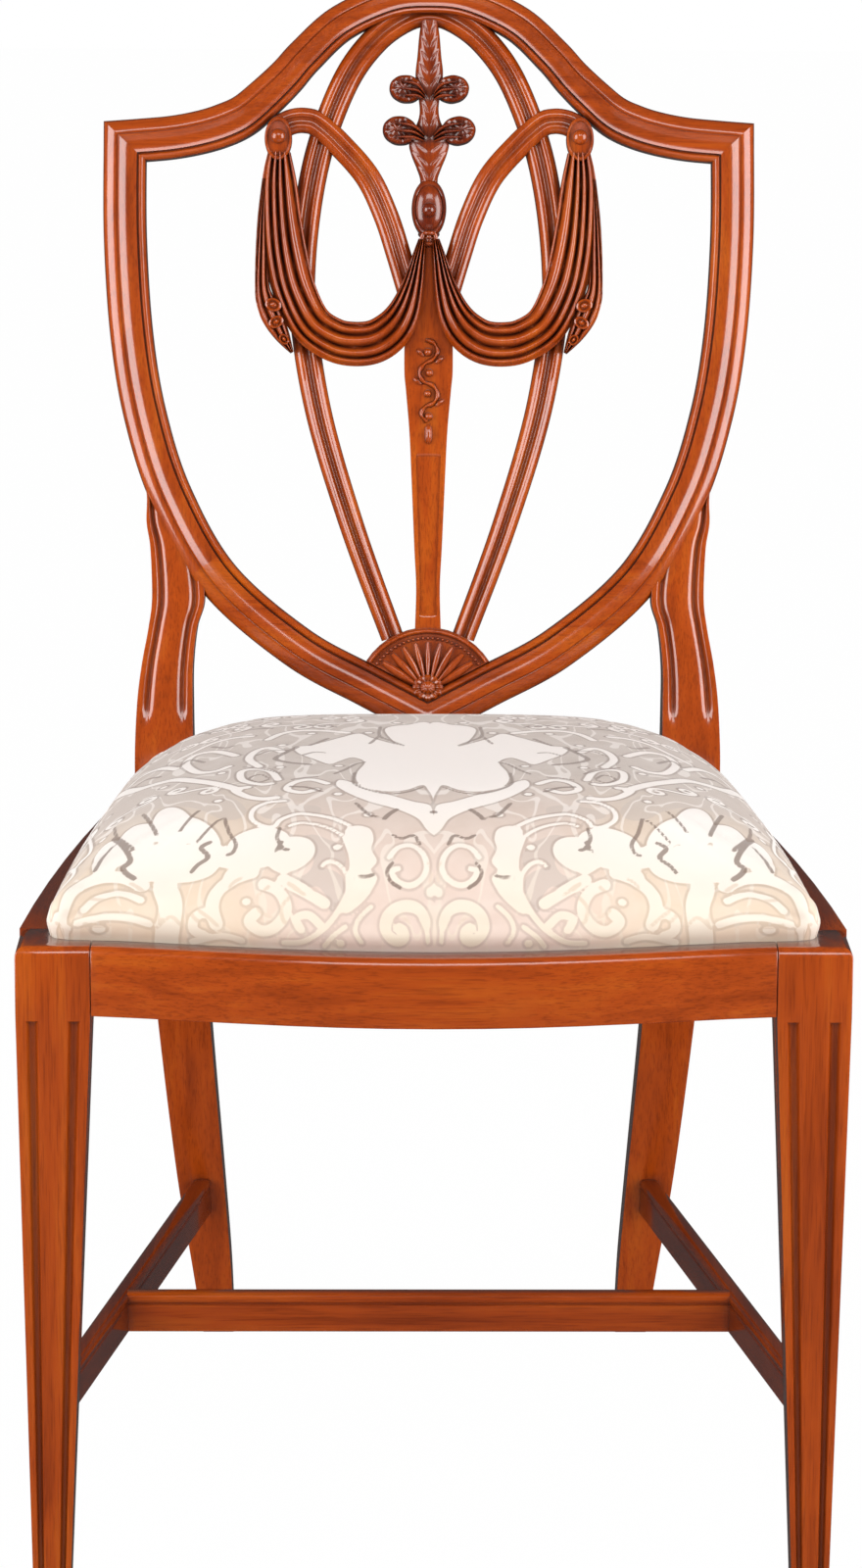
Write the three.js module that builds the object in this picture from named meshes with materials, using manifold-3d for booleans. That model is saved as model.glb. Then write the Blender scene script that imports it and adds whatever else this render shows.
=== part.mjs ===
// A shield back side chair in mahogany with a drop-in seat.
// Millimetres, +Z up, +Y to the back. Left and right are a front viewer's: left is -X and right is +X.
import * as THREE from 'three';
import { mergeVertices } from 'three/addons/utils/BufferGeometryUtils.js';
import Module from 'manifold-3d';

const wasm = await Module();
wasm.setup();

// Driving dimensions, seat and legs.
const FRONT_WIDTH = 518;
const RAIL_TOP = 424;
const RAIL_HEIGHT = 44;
const FRONT_RAIL_THICK = 33;
const SIDE_RAIL_THICK = 28;
const REAR_RAIL_THICK = 28;
const FRONT_BOW = 28.5;
const SIDE_BOW = 6.5;
const FRONT_LIP = 20;
const SIDE_LIP = 19;
const SIDE_LIP_REAR = 12;
const REAR_LIP = 14;
const REBATE_DEPTH = 16;
const LEG_TOP = 46.5;
const LEG_FOOT = 23.5;
const LEG_OUT_TAPER = 6;
const FLUTE_DEPTH = 3;
const FLUTE_STOP = 3.5;
const POST_FRONT = 444;
const POST_HALF = 206.4;
const POST_WIDTH = 41.5;
const POST_DEPTH = 38;
const REAR_FOOT_HALF = 162.5;
const REAR_FOOT_WIDTH = 22.5;
const REAR_FOOT_DEPTH = 27;
const REAR_FOOT_SWEEP = 51;

// Driving dimensions, stretchers.
const STRETCHER_TOP = 124;
const STRETCHER_HEIGHT = 26.5;
const STRETCHER_THICK = 13;
const CROSS_THICK = 15;
const CROSS_PLACE = 226;

// Driving dimensions, back. Heights are measured up the raked plane from the rail top.
const RAKE = THREE.MathUtils.degToRad(10);
const SHIELD_HALF = 213.4;
const SHIELD_FOOT = 47.5;
const SHIELD_RISE = 404;
const CREST_RISE = 101.5;
const MOULD_WIDTH = 30;
const FOOT_ROUND_HALF = 54;
const FOOT_ROUND_RISE = 12;
const FOOT_ROUND_DROP = 2;
const SHIELD_THICK = 22;
const WAIST_HALF = 194.4;
const WAIST_WIDTH = 37;
const WAIST_RISE = 132;
const BAR_HALF = 89;
const BAR_WIDTH = 19;
const BAR_FOOT_WIDTH = 16;
const BAR_THICK = 14;
const BAR_SETBACK = 5.5;
const BAR_FOOT = 104;
const BAR_RISE = 438.5;
const LOOP_FOOT = 345;
const LOOP_DROP = 36.4;
const LOOP_WIDTH = 17.5;
const LOOP_THICK = 10;
const LOOP_SETBACK = 3;
const SPLAT_HALF = 17;
const LOBE_RADIUS = 10;
const LOBE_LENGTH = 26;
const LUNETTE_SETBACK = 4.5;
const LUNETTE_HALF = 43.6;
const LUNETTE_RISE = 24;
const LUNETTE_TOP = 111;
const SWAG_HALF = 105;
const LOOP_INSET = 6;
const SWAG_TOP = 436;
const SWAG_DROP = 126;
const SWAG_WIDTH = 32;
const SWAG_THICK = 13;
const SWAG_PROUD = 5;
const ROSETTE_WIDTH = 24;
const ROSETTE_HEIGHT = 36;

// Driving dimensions, drop-in seat.
const SEAT_FRAME_THICK = 20;
const SEAT_FRAME_BAR = 46;
const COVER_THICK = 1.2;
const TURN_UNDER = 14;
const SIDE_WALL = 30;
const CROWN_RISE = 46;
const CROWN_REACH = 170;
const EDGE_ROUND = 12;
const FRONT_ROUND = 14;
const REAR_ROUND = 24;
const SEAT_BULGE = 2.5;
const WEB_WIDTH = 50;
const WEB_THICK = 2;
const CLOTH_THICK = 1;

// Driving dimensions, joints and fixings.
const JOINT_GAP = 0.3;
const SEAT_CLEAR = 0.8;
const TENON_THICK = 10;
const TENON_LENGTH = 20;
const TENON_SHOULDER = 6;
const STUB_LENGTH = 10;
const BLOCK_REACH = 62;
const BLOCK_HEIGHT = 25;
const BLOCK_EDGE = 12;
const BLOCK_DROP = 1;
const TENON_FACE = 1;
const SCREW_RADIUS = 2;
const SCREW_HEAD_RADIUS = 4;
const SCREW_LENGTH = 34;
const SCREW_SINK = 12;
const SCREW_TIP = 5;
const OVERRUN = 2;

// Worked out from those.
const LEG_HALF = FRONT_WIDTH / 2;
const RAIL_BOTTOM = RAIL_TOP - RAIL_HEIGHT;
const LEDGE = RAIL_TOP - REBATE_DEPTH;
const LEG_INNER = LEG_HALF - LEG_TOP;
const POST_INNER = POST_HALF - POST_WIDTH;
const REAR_RAIL_FRONT = POST_FRONT + REAR_LIP - REAR_RAIL_THICK;
const TENON_HEIGHT = LEDGE - RAIL_BOTTOM - TENON_SHOULDER;
const TENON_MIDDLE = (LEDGE + RAIL_BOTTOM) / 2;
const STRETCHER_MIDDLE = STRETCHER_TOP - STRETCHER_HEIGHT / 2;
const CORNER_HEIGHT = SHIELD_FOOT + SHIELD_RISE;
const LOOP_HALF = SWAG_HALF - LOOP_INSET;
const BACK = new THREE.Matrix4().makeTranslation(0, POST_FRONT, RAIL_TOP)
  .multiply(new THREE.Matrix4().makeRotationX(-RAKE));

const mahogany = { color: 0x8a3312, roughness: 0.28, metalness: 0 };
const beech = { color: 0xc79a66, roughness: 0.7, metalness: 0 };
const damask = { color: 0xd8cdbb, roughness: 0.75, metalness: 0 };
const padding = { color: 0xe6dcc4, roughness: 0.95, metalness: 0 };
const jute = { color: 0xa98a5c, roughness: 0.95, metalness: 0 };
const steel = { color: 0x8d8d8d, roughness: 0.4, metalness: 0.9 };

// Solids: a closed geometry goes in, and a solid that can be joined and cut comes out.

const mix = THREE.MathUtils.lerp;

function solid(geometry, matrix) {
  const bare = geometry.clone();
  bare.deleteAttribute('normal');
  bare.deleteAttribute('uv');
  if (matrix) bare.applyMatrix4(matrix);
  const merged = mergeVertices(bare);
  return new wasm.Manifold(new wasm.Mesh({
    numProp: 3,
    vertProperties: new Float32Array(merged.attributes.position.array),
    triVerts: new Uint32Array(merged.index.array),
  }));
}

function piece(name, body, finish) {
  const { vertProperties, triVerts } = body.getMesh();
  const geometry = new THREE.BufferGeometry();
  geometry.setAttribute('position', new THREE.BufferAttribute(vertProperties, 3));
  geometry.setIndex(new THREE.BufferAttribute(triVerts, 1));
  geometry.computeVertexNormals();
  const mesh = new THREE.Mesh(geometry, new THREE.MeshStandardMaterial({ ...finish, flatShading: true }));
  mesh.name = name;
  return mesh;
}

// A closed geometry from points and faces, with its faces turned outwards.
function closed(points, faces) {
  let volume = 0;
  for (const [a, b, c] of faces) volume += points[a].dot(points[b].clone().cross(points[c]));
  const index = faces.flatMap(([a, b, c]) => (volume < 0 ? [a, c, b] : [a, b, c]));
  return new THREE.BufferGeometry().setFromPoints(points).setIndex(index);
}

// The faces between two rings of equally many points that start at a and at b.
function band(a, b, count, flip) {
  const faces = [];
  for (let j = 0; j < count; j += 1) {
    const k = (j + 1) % count;
    faces.push([a + j, a + k, b + k], [a + j, b + k, b + j]);
  }
  return flip ? faces.map((face) => face.reverse()) : faces;
}

// The faces of a ring that is closed by a point in its middle.
function cap(points, ring, start, flip) {
  const middle = new THREE.Vector3();
  ring.forEach((p) => middle.addScaledVector(p, 1 / ring.length));
  points.push(middle);
  const faces = ring.map((p, j) => [start + j, start + (j + 1) % ring.length, points.length - 1]);
  return flip ? faces.map((face) => face.reverse()) : faces;
}

// Rings of equally many points, skinned in order and closed at both ends.
function loft(rings) {
  const count = rings[0].length;
  const points = rings.flat();
  const faces = [];
  for (let i = 0; i + 1 < rings.length; i += 1) faces.push(...band(i * count, (i + 1) * count, count, false));
  faces.push(...cap(points, rings[0], 0, true));
  faces.push(...cap(points, rings.at(-1), (rings.length - 1) * count, false));
  return closed(points, faces);
}

// Two stacks of rings going up, one inside the other, closed at the top and joined at the foot.
function shell(outside, inside) {
  const count = outside[0].length;
  const points = [...outside, ...inside].flat();
  const faces = band(0, outside.length * count, count, true);
  [outside, inside].forEach((stack, n) => {
    const start = n * outside.length * count;
    for (let i = 0; i + 1 < stack.length; i += 1) {
      faces.push(...band(start + i * count, start + (i + 1) * count, count, n === 1));
    }
    faces.push(...cap(points, stack.at(-1), start + (stack.length - 1) * count, n === 1));
  });
  return closed(points, faces);
}

// An outline moved outwards by the same amount all round. A sharp corner moves no further than its lean.
const LEAN_SHARE = 0.3;

function swell(outline, amount) {
  if (!amount) return outline;
  const way = THREE.ShapeUtils.isClockWise(outline) ? -1 : 1;
  return outline.map((p, i) => {
    const before = p.clone().sub(outline.at(i - 1)).normalize();
    const after = outline[(i + 1) % outline.length].clone().sub(p).normalize();
    const out = new THREE.Vector2(before.y + after.y, -before.x - after.x).multiplyScalar(way);
    const lean = Math.max(out.lengthSq() / 2, LEAN_SHARE);
    return p.clone().addScaledVector(out, amount / lean);
  });
}

// An outline in plan, raised from one height to another.
function slab(outline, low, high, grow = 0) {
  const shape = new THREE.Shape(swell(outline, grow));
  const depth = high - low + 2 * grow;
  return new THREE.ExtrudeGeometry(shape, { depth, bevelEnabled: false }).translate(0, 0, low - grow);
}

// An outline in the plane of the back, cut from a board between two depths.
function board(outline, front, back, grow = 0) {
  const turn = new THREE.Matrix4().makeRotationX(Math.PI / 2);
  return slab(outline, -back, -front, grow).applyMatrix4(turn);
}

function block(low, high, grow = 0) {
  const size = new THREE.Vector3().subVectors(high, low).addScalar(2 * grow);
  const middle = new THREE.Vector3().addVectors(low, high).multiplyScalar(0.5);
  return new THREE.BoxGeometry(size.x, size.y, size.z).translate(middle.x, middle.y, middle.z);
}

// A bar from one point to another with its sides upright.
function bar(from, to, thick, height, grow = 0) {
  const run = new THREE.Vector3().subVectors(to, from);
  const geometry = new THREE.BoxGeometry(run.length() + 2 * grow, thick + 2 * grow, height + 2 * grow);
  const middle = new THREE.Vector3().addVectors(from, to).multiplyScalar(0.5);
  geometry.rotateZ(Math.atan2(run.y, run.x));
  return geometry.translate(middle.x, middle.y, middle.z);
}

// A section carried along a line in the plane of the back, with its ends cut as the line turns there.
function moulding(line, section, { before, after, grow = 0, first = 0, last = 0 } = {}) {
  const rings = line.map((p, i) => {
    const share = i / (line.length - 1);
    const back = line[i - 1] ?? before ?? p.clone().multiplyScalar(2).sub(line[i + 1]);
    const ahead = line[i + 1] ?? after ?? p.clone().multiplyScalar(2).sub(line[i - 1]);
    const arrive = p.clone().sub(back).normalize();
    const leave = ahead.clone().sub(p).normalize();
    const across = new THREE.Vector2(arrive.y + leave.y, -arrive.x - leave.x);
    across.multiplyScalar(2 / across.lengthSq());
    const move = i === 0 ? first : i === line.length - 1 ? -last : 0;
    const middle = p.clone().addScaledVector(i === 0 ? leave : arrive, move);
    return swell(section(share), grow).map((s) => {
      const place = middle.clone().addScaledVector(across, s.x);
      return new THREE.Vector3(place.x, s.y, place.y);
    });
  });
  return loft(rings);
}

const flat = (x, y) => new THREE.Vector2(x, y);
const point = (x, y, z) => new THREE.Vector3(x, y, z);
const SIDES = [['left', -1], ['right', 1]];

// Front legs: square, tapered below the rails, with two stopped flutes on the front and outer faces.

const LEG_LEVEL_SHARES = [0, 1];
const FLUTE_PLACE_SHARES = [-0.28, 0.28];
const FLUTE_WIDTH_SHARE = 0.17;

function legBox(share) {
  const outer = LEG_HALF - mix(LEG_OUT_TAPER, 0, share);
  const width = mix(LEG_FOOT, LEG_TOP, share);
  return { outer, inner: outer - width, front: 0, back: width };
}

function frontLeg(hand, grow = 0) {
  const rings = [...LEG_LEVEL_SHARES, null].map((share) => {
    const { outer, inner, front, back } = legBox(share ?? 1);
    const height = share === null ? RAIL_TOP + grow : share === 0 ? -grow : RAIL_BOTTOM;
    return [
      point(hand * (outer + grow), front - grow, height),
      point(hand * (outer + grow), back + grow, height),
      point(hand * (inner - grow), back + grow, height),
      point(hand * (inner - grow), front - grow, height),
    ];
  });
  return solid(loft(rings));
}

// A flute is a half hexagon cut that narrows with the leg.
const FLUTE_SECTION_SHARES = [[-0.5, -1], [-0.5, 0], [-0.25, 1], [0.25, 1], [0.5, 0], [0.5, -1]];

function flutes(hand) {
  const cuts = [];
  for (const place of FLUTE_PLACE_SHARES) {
    for (const face of ['front', 'outer']) {
      const rings = [0, 1].map((share) => {
        const leg = legBox(share);
        const width = leg.back - leg.front;
        const height = share ? RAIL_BOTTOM - FLUTE_STOP : -OVERRUN;
        return FLUTE_SECTION_SHARES.map(([across, deep]) => {
          const along = (place + across * FLUTE_WIDTH_SHARE) * width;
          const sink = deep < 0 ? -OVERRUN : deep * FLUTE_DEPTH;
          if (face === 'front') {
            return point(hand * ((leg.outer + leg.inner) / 2 + along), leg.front + sink, height);
          }
          return point(hand * (leg.outer - sink), (leg.front + leg.back) / 2 + along, height);
        });
      });
      cuts.push(solid(loft(rings)));
    }
  }
  return cuts;
}

// Shield outline: the centre line of its moulding, from the foot of the V up to the mitred corner.

const SHIELD_SHARES = [
  [0, 0], [0.2, 0.055], [0.433, 0.1225], [0.69, 0.24], [0.848, 0.384],
  [0.934, 0.5245], [0.979, 0.6656], [1, 0.835], [1, 1],
];
const SHIELD_STEPS = 26;
const SHIELD_JOINT_STEP = 10;
const CREST_SHARES = [
  [0, 1], [0.131, 0.97], [0.29, 0.818], [0.406, 0.597], [0.469, 0.448], [0.5365, 0.31],
  [0.607, 0.184], [0.68, 0.111], [0.757, 0.063], [0.848, 0.028], [0.951, 0.008], [1, 0],
];
// How wide the crest is, from the middle (0) to the corner (1).
const CREST_WIDTH_SHARES = [[0, 0.8], [0.25, 0.84], [0.45, 0.88], [0.7, 1], [1, 1]];
const CREST_STEPS = 20;

const shieldSide = new THREE.SplineCurve(
  SHIELD_SHARES.map(([x, z]) => flat(x * SHIELD_HALF, SHIELD_FOOT + z * SHIELD_RISE)),
).getSpacedPoints(SHIELD_STEPS);
const crestHalf = CREST_SHARES.map(([x, z]) => flat(x * SHIELD_HALF, CORNER_HEIGHT + z * CREST_RISE));
const handed = (line, hand) => line.map((p) => flat(hand * p.x, p.y));

// A smooth line from one end through the middle to the other end, alike on both sides.
function mirrored(half, steps) {
  const whole = new THREE.SplineCurve([...half, ...handed(half.slice(0, -1), -1).reverse()]);
  const places = whole.getSpacedPoints(2 * steps);
  const side = places.slice(0, steps);
  return [...side, flat(0, places[steps].y), ...handed(side, -1).reverse()];
}

const crestLine = mirrored([...crestHalf].reverse(), CREST_STEPS).reverse();

// Across the moulding from the inner edge to the outer one, and how far each point lies behind the front.
const MOULD_SHARES = [
  [-0.5, 0.92], [-0.5, 0.16], [-0.41, 0.11], [-0.36, 0.2], [-0.3, 0.13], [-0.1, 0.09], [0.1, 0],
  [0.27, 0.06], [0.4, 0.18], [0.5, 0.32], [0.5, 0.92], [0.44, 1], [-0.44, 1],
];
const mouldSection = (hand, width = () => MOULD_WIDTH) => (share) => MOULD_SHARES.map(([across, deep]) => (
  flat(-hand * across * width(share), deep * SHIELD_THICK)));

// The value of a table of shares at any share between its first and last.
function tableAt(table, share) {
  const next = Math.max(1, table.findIndex((row) => row[0] >= share));
  const [low, high] = [table[next - 1], table[next]];
  return low.map((value, i) => mix(value, high[i], (share - low[0]) / (high[0] - low[0])));
}

const crestWidth = (share) => MOULD_WIDTH * tableAt(CREST_WIDTH_SHARES, Math.abs(2 * share - 1))[1];

// The line's height where the shield's side has a given height, and the outer edge there.
function shieldAt(height, offset) {
  const next = Math.max(1, shieldSide.findIndex((p) => p.y >= height));
  const low = shieldSide[next - 1];
  const high = shieldSide[next];
  const run = high.clone().sub(low).normalize();
  return mix(low.x, high.x, (height - low.y) / (high.y - low.y)) + offset / run.y;
}

function lowerRail(grow = 0) {
  const half = shieldSide.slice(0, SHIELD_JOINT_STEP + 1);
  const line = [...handed(half.slice(1), -1).reverse(), ...half];
  const before = flat(-shieldSide[SHIELD_JOINT_STEP + 1].x, shieldSide[SHIELD_JOINT_STEP + 1].y);
  const after = shieldSide[SHIELD_JOINT_STEP + 1];
  return moulding(line, mouldSection(-1), { before, after, grow });
}

// The lower edge of the V is rounded off across its point.
const FOOT_ROUND_STEPS = 8;

function footRound() {
  const low = SHIELD_FOOT - FOOT_ROUND_DROP;
  const outline = [flat(-FOOT_ROUND_HALF, low - FOOT_ROUND_HALF), flat(FOOT_ROUND_HALF, low - FOOT_ROUND_HALF)];
  for (let i = 0; i <= FOOT_ROUND_STEPS; i += 1) {
    const share = 1 - (2 * i) / FOOT_ROUND_STEPS;
    outline.push(flat(share * FOOT_ROUND_HALF, low + share ** 2 * FOOT_ROUND_RISE));
  }
  return solid(board(outline, -OVERRUN, SHIELD_THICK + OVERRUN));
}

// The height of the crest's line at a distance from the middle.
function crestAt(x) {
  const next = crestLine.findIndex((p) => p.x >= x);
  const low = crestLine[next - 1];
  const high = crestLine[next];
  return mix(low.y, high.y, (x - low.x) / (high.x - low.x));
}

function crestBand(grow = 0) {
  const below = shieldSide.at(-2);
  const cut = { before: flat(-below.x, below.y), after: below, grow, first: JOINT_GAP, last: JOINT_GAP };
  return moulding(crestLine, mouldSection(1, crestWidth), cut);
}

function shieldSideBand(hand) {
  const line = handed(shieldSide.slice(SHIELD_JOINT_STEP), hand);
  const before = flat(hand * shieldSide[SHIELD_JOINT_STEP - 1].x, shieldSide[SHIELD_JOINT_STEP - 1].y);
  const after = flat(hand * crestLine.at(-2).x, crestLine.at(-2).y);
  return moulding(line, mouldSection(-hand), { before, after, first: JOINT_GAP });
}

// A tongue across a joint of the back: a block centred on the joint and turned with the line there.
const TONGUE_WIDTH_SHARE = 0.36;
const TONGUE_THICK_SHARE = 0.36;
const TONGUE_DEPTH_SHARE = 0.6;

function tongue(hand, place, run, width, front, thick, grow = 0) {
  const across = TONGUE_WIDTH_SHARE * width + 2 * grow;
  const deep = TONGUE_THICK_SHARE * thick + 2 * grow;
  const geometry = new THREE.BoxGeometry(across, deep, STUB_LENGTH + 2 * grow);
  geometry.rotateY(hand * Math.atan2(run.x, run.y));
  return solid(geometry.translate(hand * place.x, front + TONGUE_DEPTH_SHARE * thick, place.y));
}

function lowerTongue(hand, grow = 0) {
  const place = shieldSide[SHIELD_JOINT_STEP];
  const run = shieldSide[SHIELD_JOINT_STEP + 1].clone().sub(place);
  return tongue(hand, place, run, MOULD_WIDTH, 0, SHIELD_THICK, grow);
}

const mitreTongue = (hand, grow = 0) => (
  tongue(hand, shieldSide.at(-1), flat(-1, 1), MOULD_WIDTH, 0, SHIELD_THICK, grow));

// Rear posts: leg, stile and shield side sawn in one, swept back at the foot and raked above the seat.

// Height, outer edge, width, set back and depth below the rail top, each from the foot (0) to the rail (1).
const REAR_LEG_SHARES = [
  [0, 0, 0, 1, 0], [0.13, 0.17, 0.3, 0.8, 0.3], [0.3, 0.4, 0.58, 0.6, 0.55],
  [0.55, 0.65, 0.76, 0.36, 0.8], [0.8, 0.855, 0.91, 0.13, 0.95], [0.93, 0.96, 0.97, 0.02, 1],
];
// Height as a share of the waist's, outer and inner edge from the rail (0) to the waist (1), front and back.
const POST_SHARES = [
  [0.1, 0, 0, 0, 1.66], [0.42, 0.12, -0.1, 0.05, 1.5], [0.64, 0.4, -0.08, 0.09, 1.36],
  [0.84, 0.8, 0.3, 0.14, 1.2], [1, 1, 1, 0.18, 1.08],
];
// The stile's outer edge as a share of the waist's, how far it has run into the shield, front and back.
const POST_HEAD_SHARES = [
  [1.26, 1.006, 0, 0.2, 1], [1.4, 1.02, 0, 0.24, 1], [1.58, 1, 1, 0.32, 0.97], [1.8, 1, 1, 0.34, 0.94],
];

const HEAD_INSET_SHARE = 0.47;

function rearLeg(hand, grow = 0) {
  const ring = (outer, inner, front, back, place) => [
    place(hand * (outer + grow), front - grow),
    place(hand * (outer + grow), back + grow),
    place(hand * (inner - grow), back + grow),
    place(hand * (inner - grow), front - grow),
  ];
  const rings = REAR_LEG_SHARES.map(([up, out, wide, sweep, deep]) => {
    const outer = mix(REAR_FOOT_HALF, POST_HALF, out);
    const inner = outer - mix(REAR_FOOT_WIDTH, POST_WIDTH, wide);
    const front = POST_FRONT + sweep * REAR_FOOT_SWEEP;
    const back = front + mix(REAR_FOOT_DEPTH, POST_DEPTH, deep);
    const height = up ? up * RAIL_TOP : -grow;
    return ring(outer, inner, front, back, (x, y) => point(x, y, height));
  });
  const raked = (rise) => (x, y) => point(x, y, rise * WAIST_RISE).applyMatrix4(BACK);
  for (const [rise, out, into, front, back] of POST_SHARES) {
    const outer = mix(POST_HALF, WAIST_HALF, out);
    const inner = mix(POST_INNER, WAIST_HALF - WAIST_WIDTH, into);
    rings.push(ring(outer, inner, front * SHIELD_THICK, back * SHIELD_THICK, raked(rise)));
  }
  for (const [rise, wide, blend, front, back] of POST_HEAD_SHARES) {
    const edge = shieldAt(rise * WAIST_RISE, MOULD_WIDTH * HEAD_INSET_SHARE);
    const outer = mix(wide * WAIST_HALF, edge, blend);
    const inner = shieldAt(rise * WAIST_RISE, 0);
    rings.push(ring(outer, inner, front * SHIELD_THICK, back * SHIELD_THICK, raked(rise)));
  }
  return solid(loft(rings));
}

// Splat bars, loops, swags, centre splat and lunette, all set out in the plane of the back.

// The bars and the arch that joins them under the crest follow one line from foot to foot.
const ARCH_SHARES = [
  [0.281, 0], [0.5955, 0.174], [0.8596, 0.3524], [0.9888, 0.5057], [1, 0.597],
  [0.9416, 0.707], [0.8337, 0.801], [0.645, 0.895], [0.427, 0.955], [0.2, 0.989], [0, 1],
];
const ARCH_STEPS = 30;
const ARCH_JOINT_STEP = 25;
const LOOP_SHARES = [
  [0.13, 0], [0.212, 0.231], [0.305, 0.47], [0.436, 0.701], [0.633, 0.893],
  [0.798, 1.021], [0.909, 1.047], [1, 1],
];
const LOOP_STEPS = 16;

// The loops end a set drop below the middle of the crest, wherever their outer ends meet it.
const loopRise = crestAt(LOOP_HALF) - LOOP_DROP - LOOP_FOOT;
// Across, and forward of the back face: two reeds with a hollow between them.
const REED_SHARES = [
  [-0.5, 0.85], [-0.5, 0.2], [-0.33, 0], [-0.14, 0.06], [0, 0.24],
  [0.14, 0.06], [0.33, 0], [0.5, 0.2], [0.5, 0.85], [0.36, 1], [-0.36, 1],
];

const reedSection = (setback, thick, width) => (share) => (
  REED_SHARES.map(([across, deep]) => flat(across * width(share), setback + deep * thick)));

const archHalf = ARCH_SHARES.map(([x, z]) => flat(x * BAR_HALF, BAR_FOOT + z * BAR_RISE));
const archLine = mirrored(archHalf, ARCH_STEPS);

function splatBar(hand, grow = 0) {
  const line = handed(archLine.slice(0, ARCH_JOINT_STEP + 2), hand);
  const after = line.pop();
  const width = (share) => mix(BAR_FOOT_WIDTH, BAR_WIDTH, Math.min(1, 2 * share));
  return solid(moulding(line, reedSection(BAR_SETBACK, BAR_THICK, width), { after, grow, last: JOINT_GAP }));
}

function archBand(grow = 0) {
  const line = archLine.slice(ARCH_JOINT_STEP - 1, 1 - ARCH_JOINT_STEP);
  const before = line.shift();
  const after = line.pop();
  return solid(moulding(line, reedSection(BAR_SETBACK, BAR_THICK, () => BAR_WIDTH), { before, after, grow }));
}

// Tongues at the top and the foot of each bar.
function barTongue(hand, end, grow = 0) {
  const step = end === 'top' ? ARCH_JOINT_STEP : 1;
  const run = archLine[step + 1].clone().sub(archLine[step - 1]);
  const place = end === 'top' ? archLine[step] : archLine[0];
  return tongue(hand, place, run, BAR_FOOT_WIDTH, BAR_SETBACK, BAR_THICK, grow);
}

function loop(hand, grow = 0) {
  const line = new THREE.SplineCurve(
    LOOP_SHARES.map(([x, z]) => flat(hand * x * LOOP_HALF, LOOP_FOOT + z * loopRise)),
  ).getSpacedPoints(LOOP_STEPS);
  return moulding(line, reedSection(LOOP_SETBACK, LOOP_THICK, () => LOOP_WIDTH), { grow });
}

// Swag: across, up and width along its run, from the rosette down and round to the centre.
const SWAG_SHARES = [
  [1, 0.06, 0.5], [1, -0.1, 0.76], [0.985, -0.31, 0.88], [0.955, -0.51, 0.95], [0.9, -0.7, 0.95],
  [0.79, -0.885, 0.93], [0.64, -0.975, 0.95], [0.5, -1, 0.97], [0.36, -0.985, 0.95],
  [0.245, -0.92, 0.88], [0.165, -0.82, 0.72], [0.11, -0.68, 0.5], [0.07, -0.52, 0.3],
];
const SWAG_STEPS = 18;
const FOLD_SHARES = [
  [-0.5, 0.8], [-0.5, 0.35], [-0.4, 0.08], [-0.27, 0.3], [-0.13, 0], [0, 0.26],
  [0.13, 0], [0.27, 0.3], [0.4, 0.08], [0.5, 0.35], [0.5, 0.8], [0.3, 1], [-0.3, 1],
];
const TAIL_SHARES = [[1.11, -0.66], [1.11, -0.76], [1.04, -0.95], [0.88, -1.12], [0.9, -0.96], [0.94, -0.66]];

function swag(hand, grow = 0) {
  const run = new THREE.CatmullRomCurve3(
    SWAG_SHARES.map(([x, z, w]) => point(hand * x * SWAG_HALF, SWAG_TOP + z * SWAG_DROP, w * SWAG_WIDTH)),
  ).getSpacedPoints(SWAG_STEPS);
  const line = run.map((p) => flat(p.x, p.y));
  const width = (share) => run[Math.round(share * SWAG_STEPS)].z;
  const section = (share) => FOLD_SHARES.map(([across, deep]) => (
    flat(across * width(share), deep * SWAG_THICK - SWAG_PROUD)));
  const tail = TAIL_SHARES.map(([x, z]) => flat(hand * x * SWAG_HALF, SWAG_TOP + z * SWAG_DROP));
  const back = SWAG_THICK - SWAG_PROUD;
  return solid(moulding(line, section, { grow }))
    .add(solid(board(tail, -SWAG_PROUD / 2, back, grow)))
    .add(rosette(hand, grow));
}

const ROSETTE_SHARES = [
  [-0.32, -0.5], [0.32, -0.5], [0.5, -0.2], [0.5, 0.3], [0.36, 0.46], [-0.36, 0.46], [-0.5, 0.3], [-0.5, -0.2],
];
const BUTTON_SHARE = 0.3;
const BUTTON_RISE_SHARE = 0.14;

function rosette(hand, grow = 0) {
  const middle = SWAG_TOP + ROSETTE_HEIGHT / 2 - OVERRUN;
  const outline = ROSETTE_SHARES.map(([x, z]) => (
    flat(hand * SWAG_HALF + x * ROSETTE_WIDTH, middle + z * ROSETTE_HEIGHT)));
  const radius = BUTTON_SHARE * ROSETTE_WIDTH + grow;
  const button = new THREE.SphereGeometry(radius, 8, 4)
    .translate(hand * SWAG_HALF, -SWAG_PROUD, middle + ROSETTE_HEIGHT * BUTTON_RISE_SHARE);
  return solid(board(outline, -SWAG_PROUD, SWAG_THICK - SWAG_PROUD, grow)).add(solid(button));
}

// Centre splat: half width and height, from the lunette up to the crest.
const SPLAT_SHARES = [
  [0.53, 0], [0.49, 0.067], [0.57, 0.134], [0.71, 0.265], [0.79, 0.33], [0.93, 0.395], [1, 0.43],
  [0.97, 0.5], [0.8, 0.56], [0.55, 0.64], [0.53, 0.668], [0.65, 0.684], [0.74, 0.708], [0.6, 0.738],
  [0.38, 0.76], [0.73, 0.807], [0.55, 0.86], [0.55, 0.876], [0.55, 0.926], [0.47, 0.95], [0.38, 1],
];
const LOBE_PLACE_SHARES = [[1.2, 0.832], [1.08, 0.901]];
const LOBE_FRONT_SHARE = 0.8;
const BOSS_SHARE = 0.708;
const BOSS_WIDTH_SHARE = 0.6;
const SPLAT_TOP = BAR_FOOT + BAR_RISE - BAR_WIDTH / 2;

function splatPlace(x, share) {
  return flat(x * SPLAT_HALF, mix(LUNETTE_TOP, SPLAT_TOP, share));
}

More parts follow.
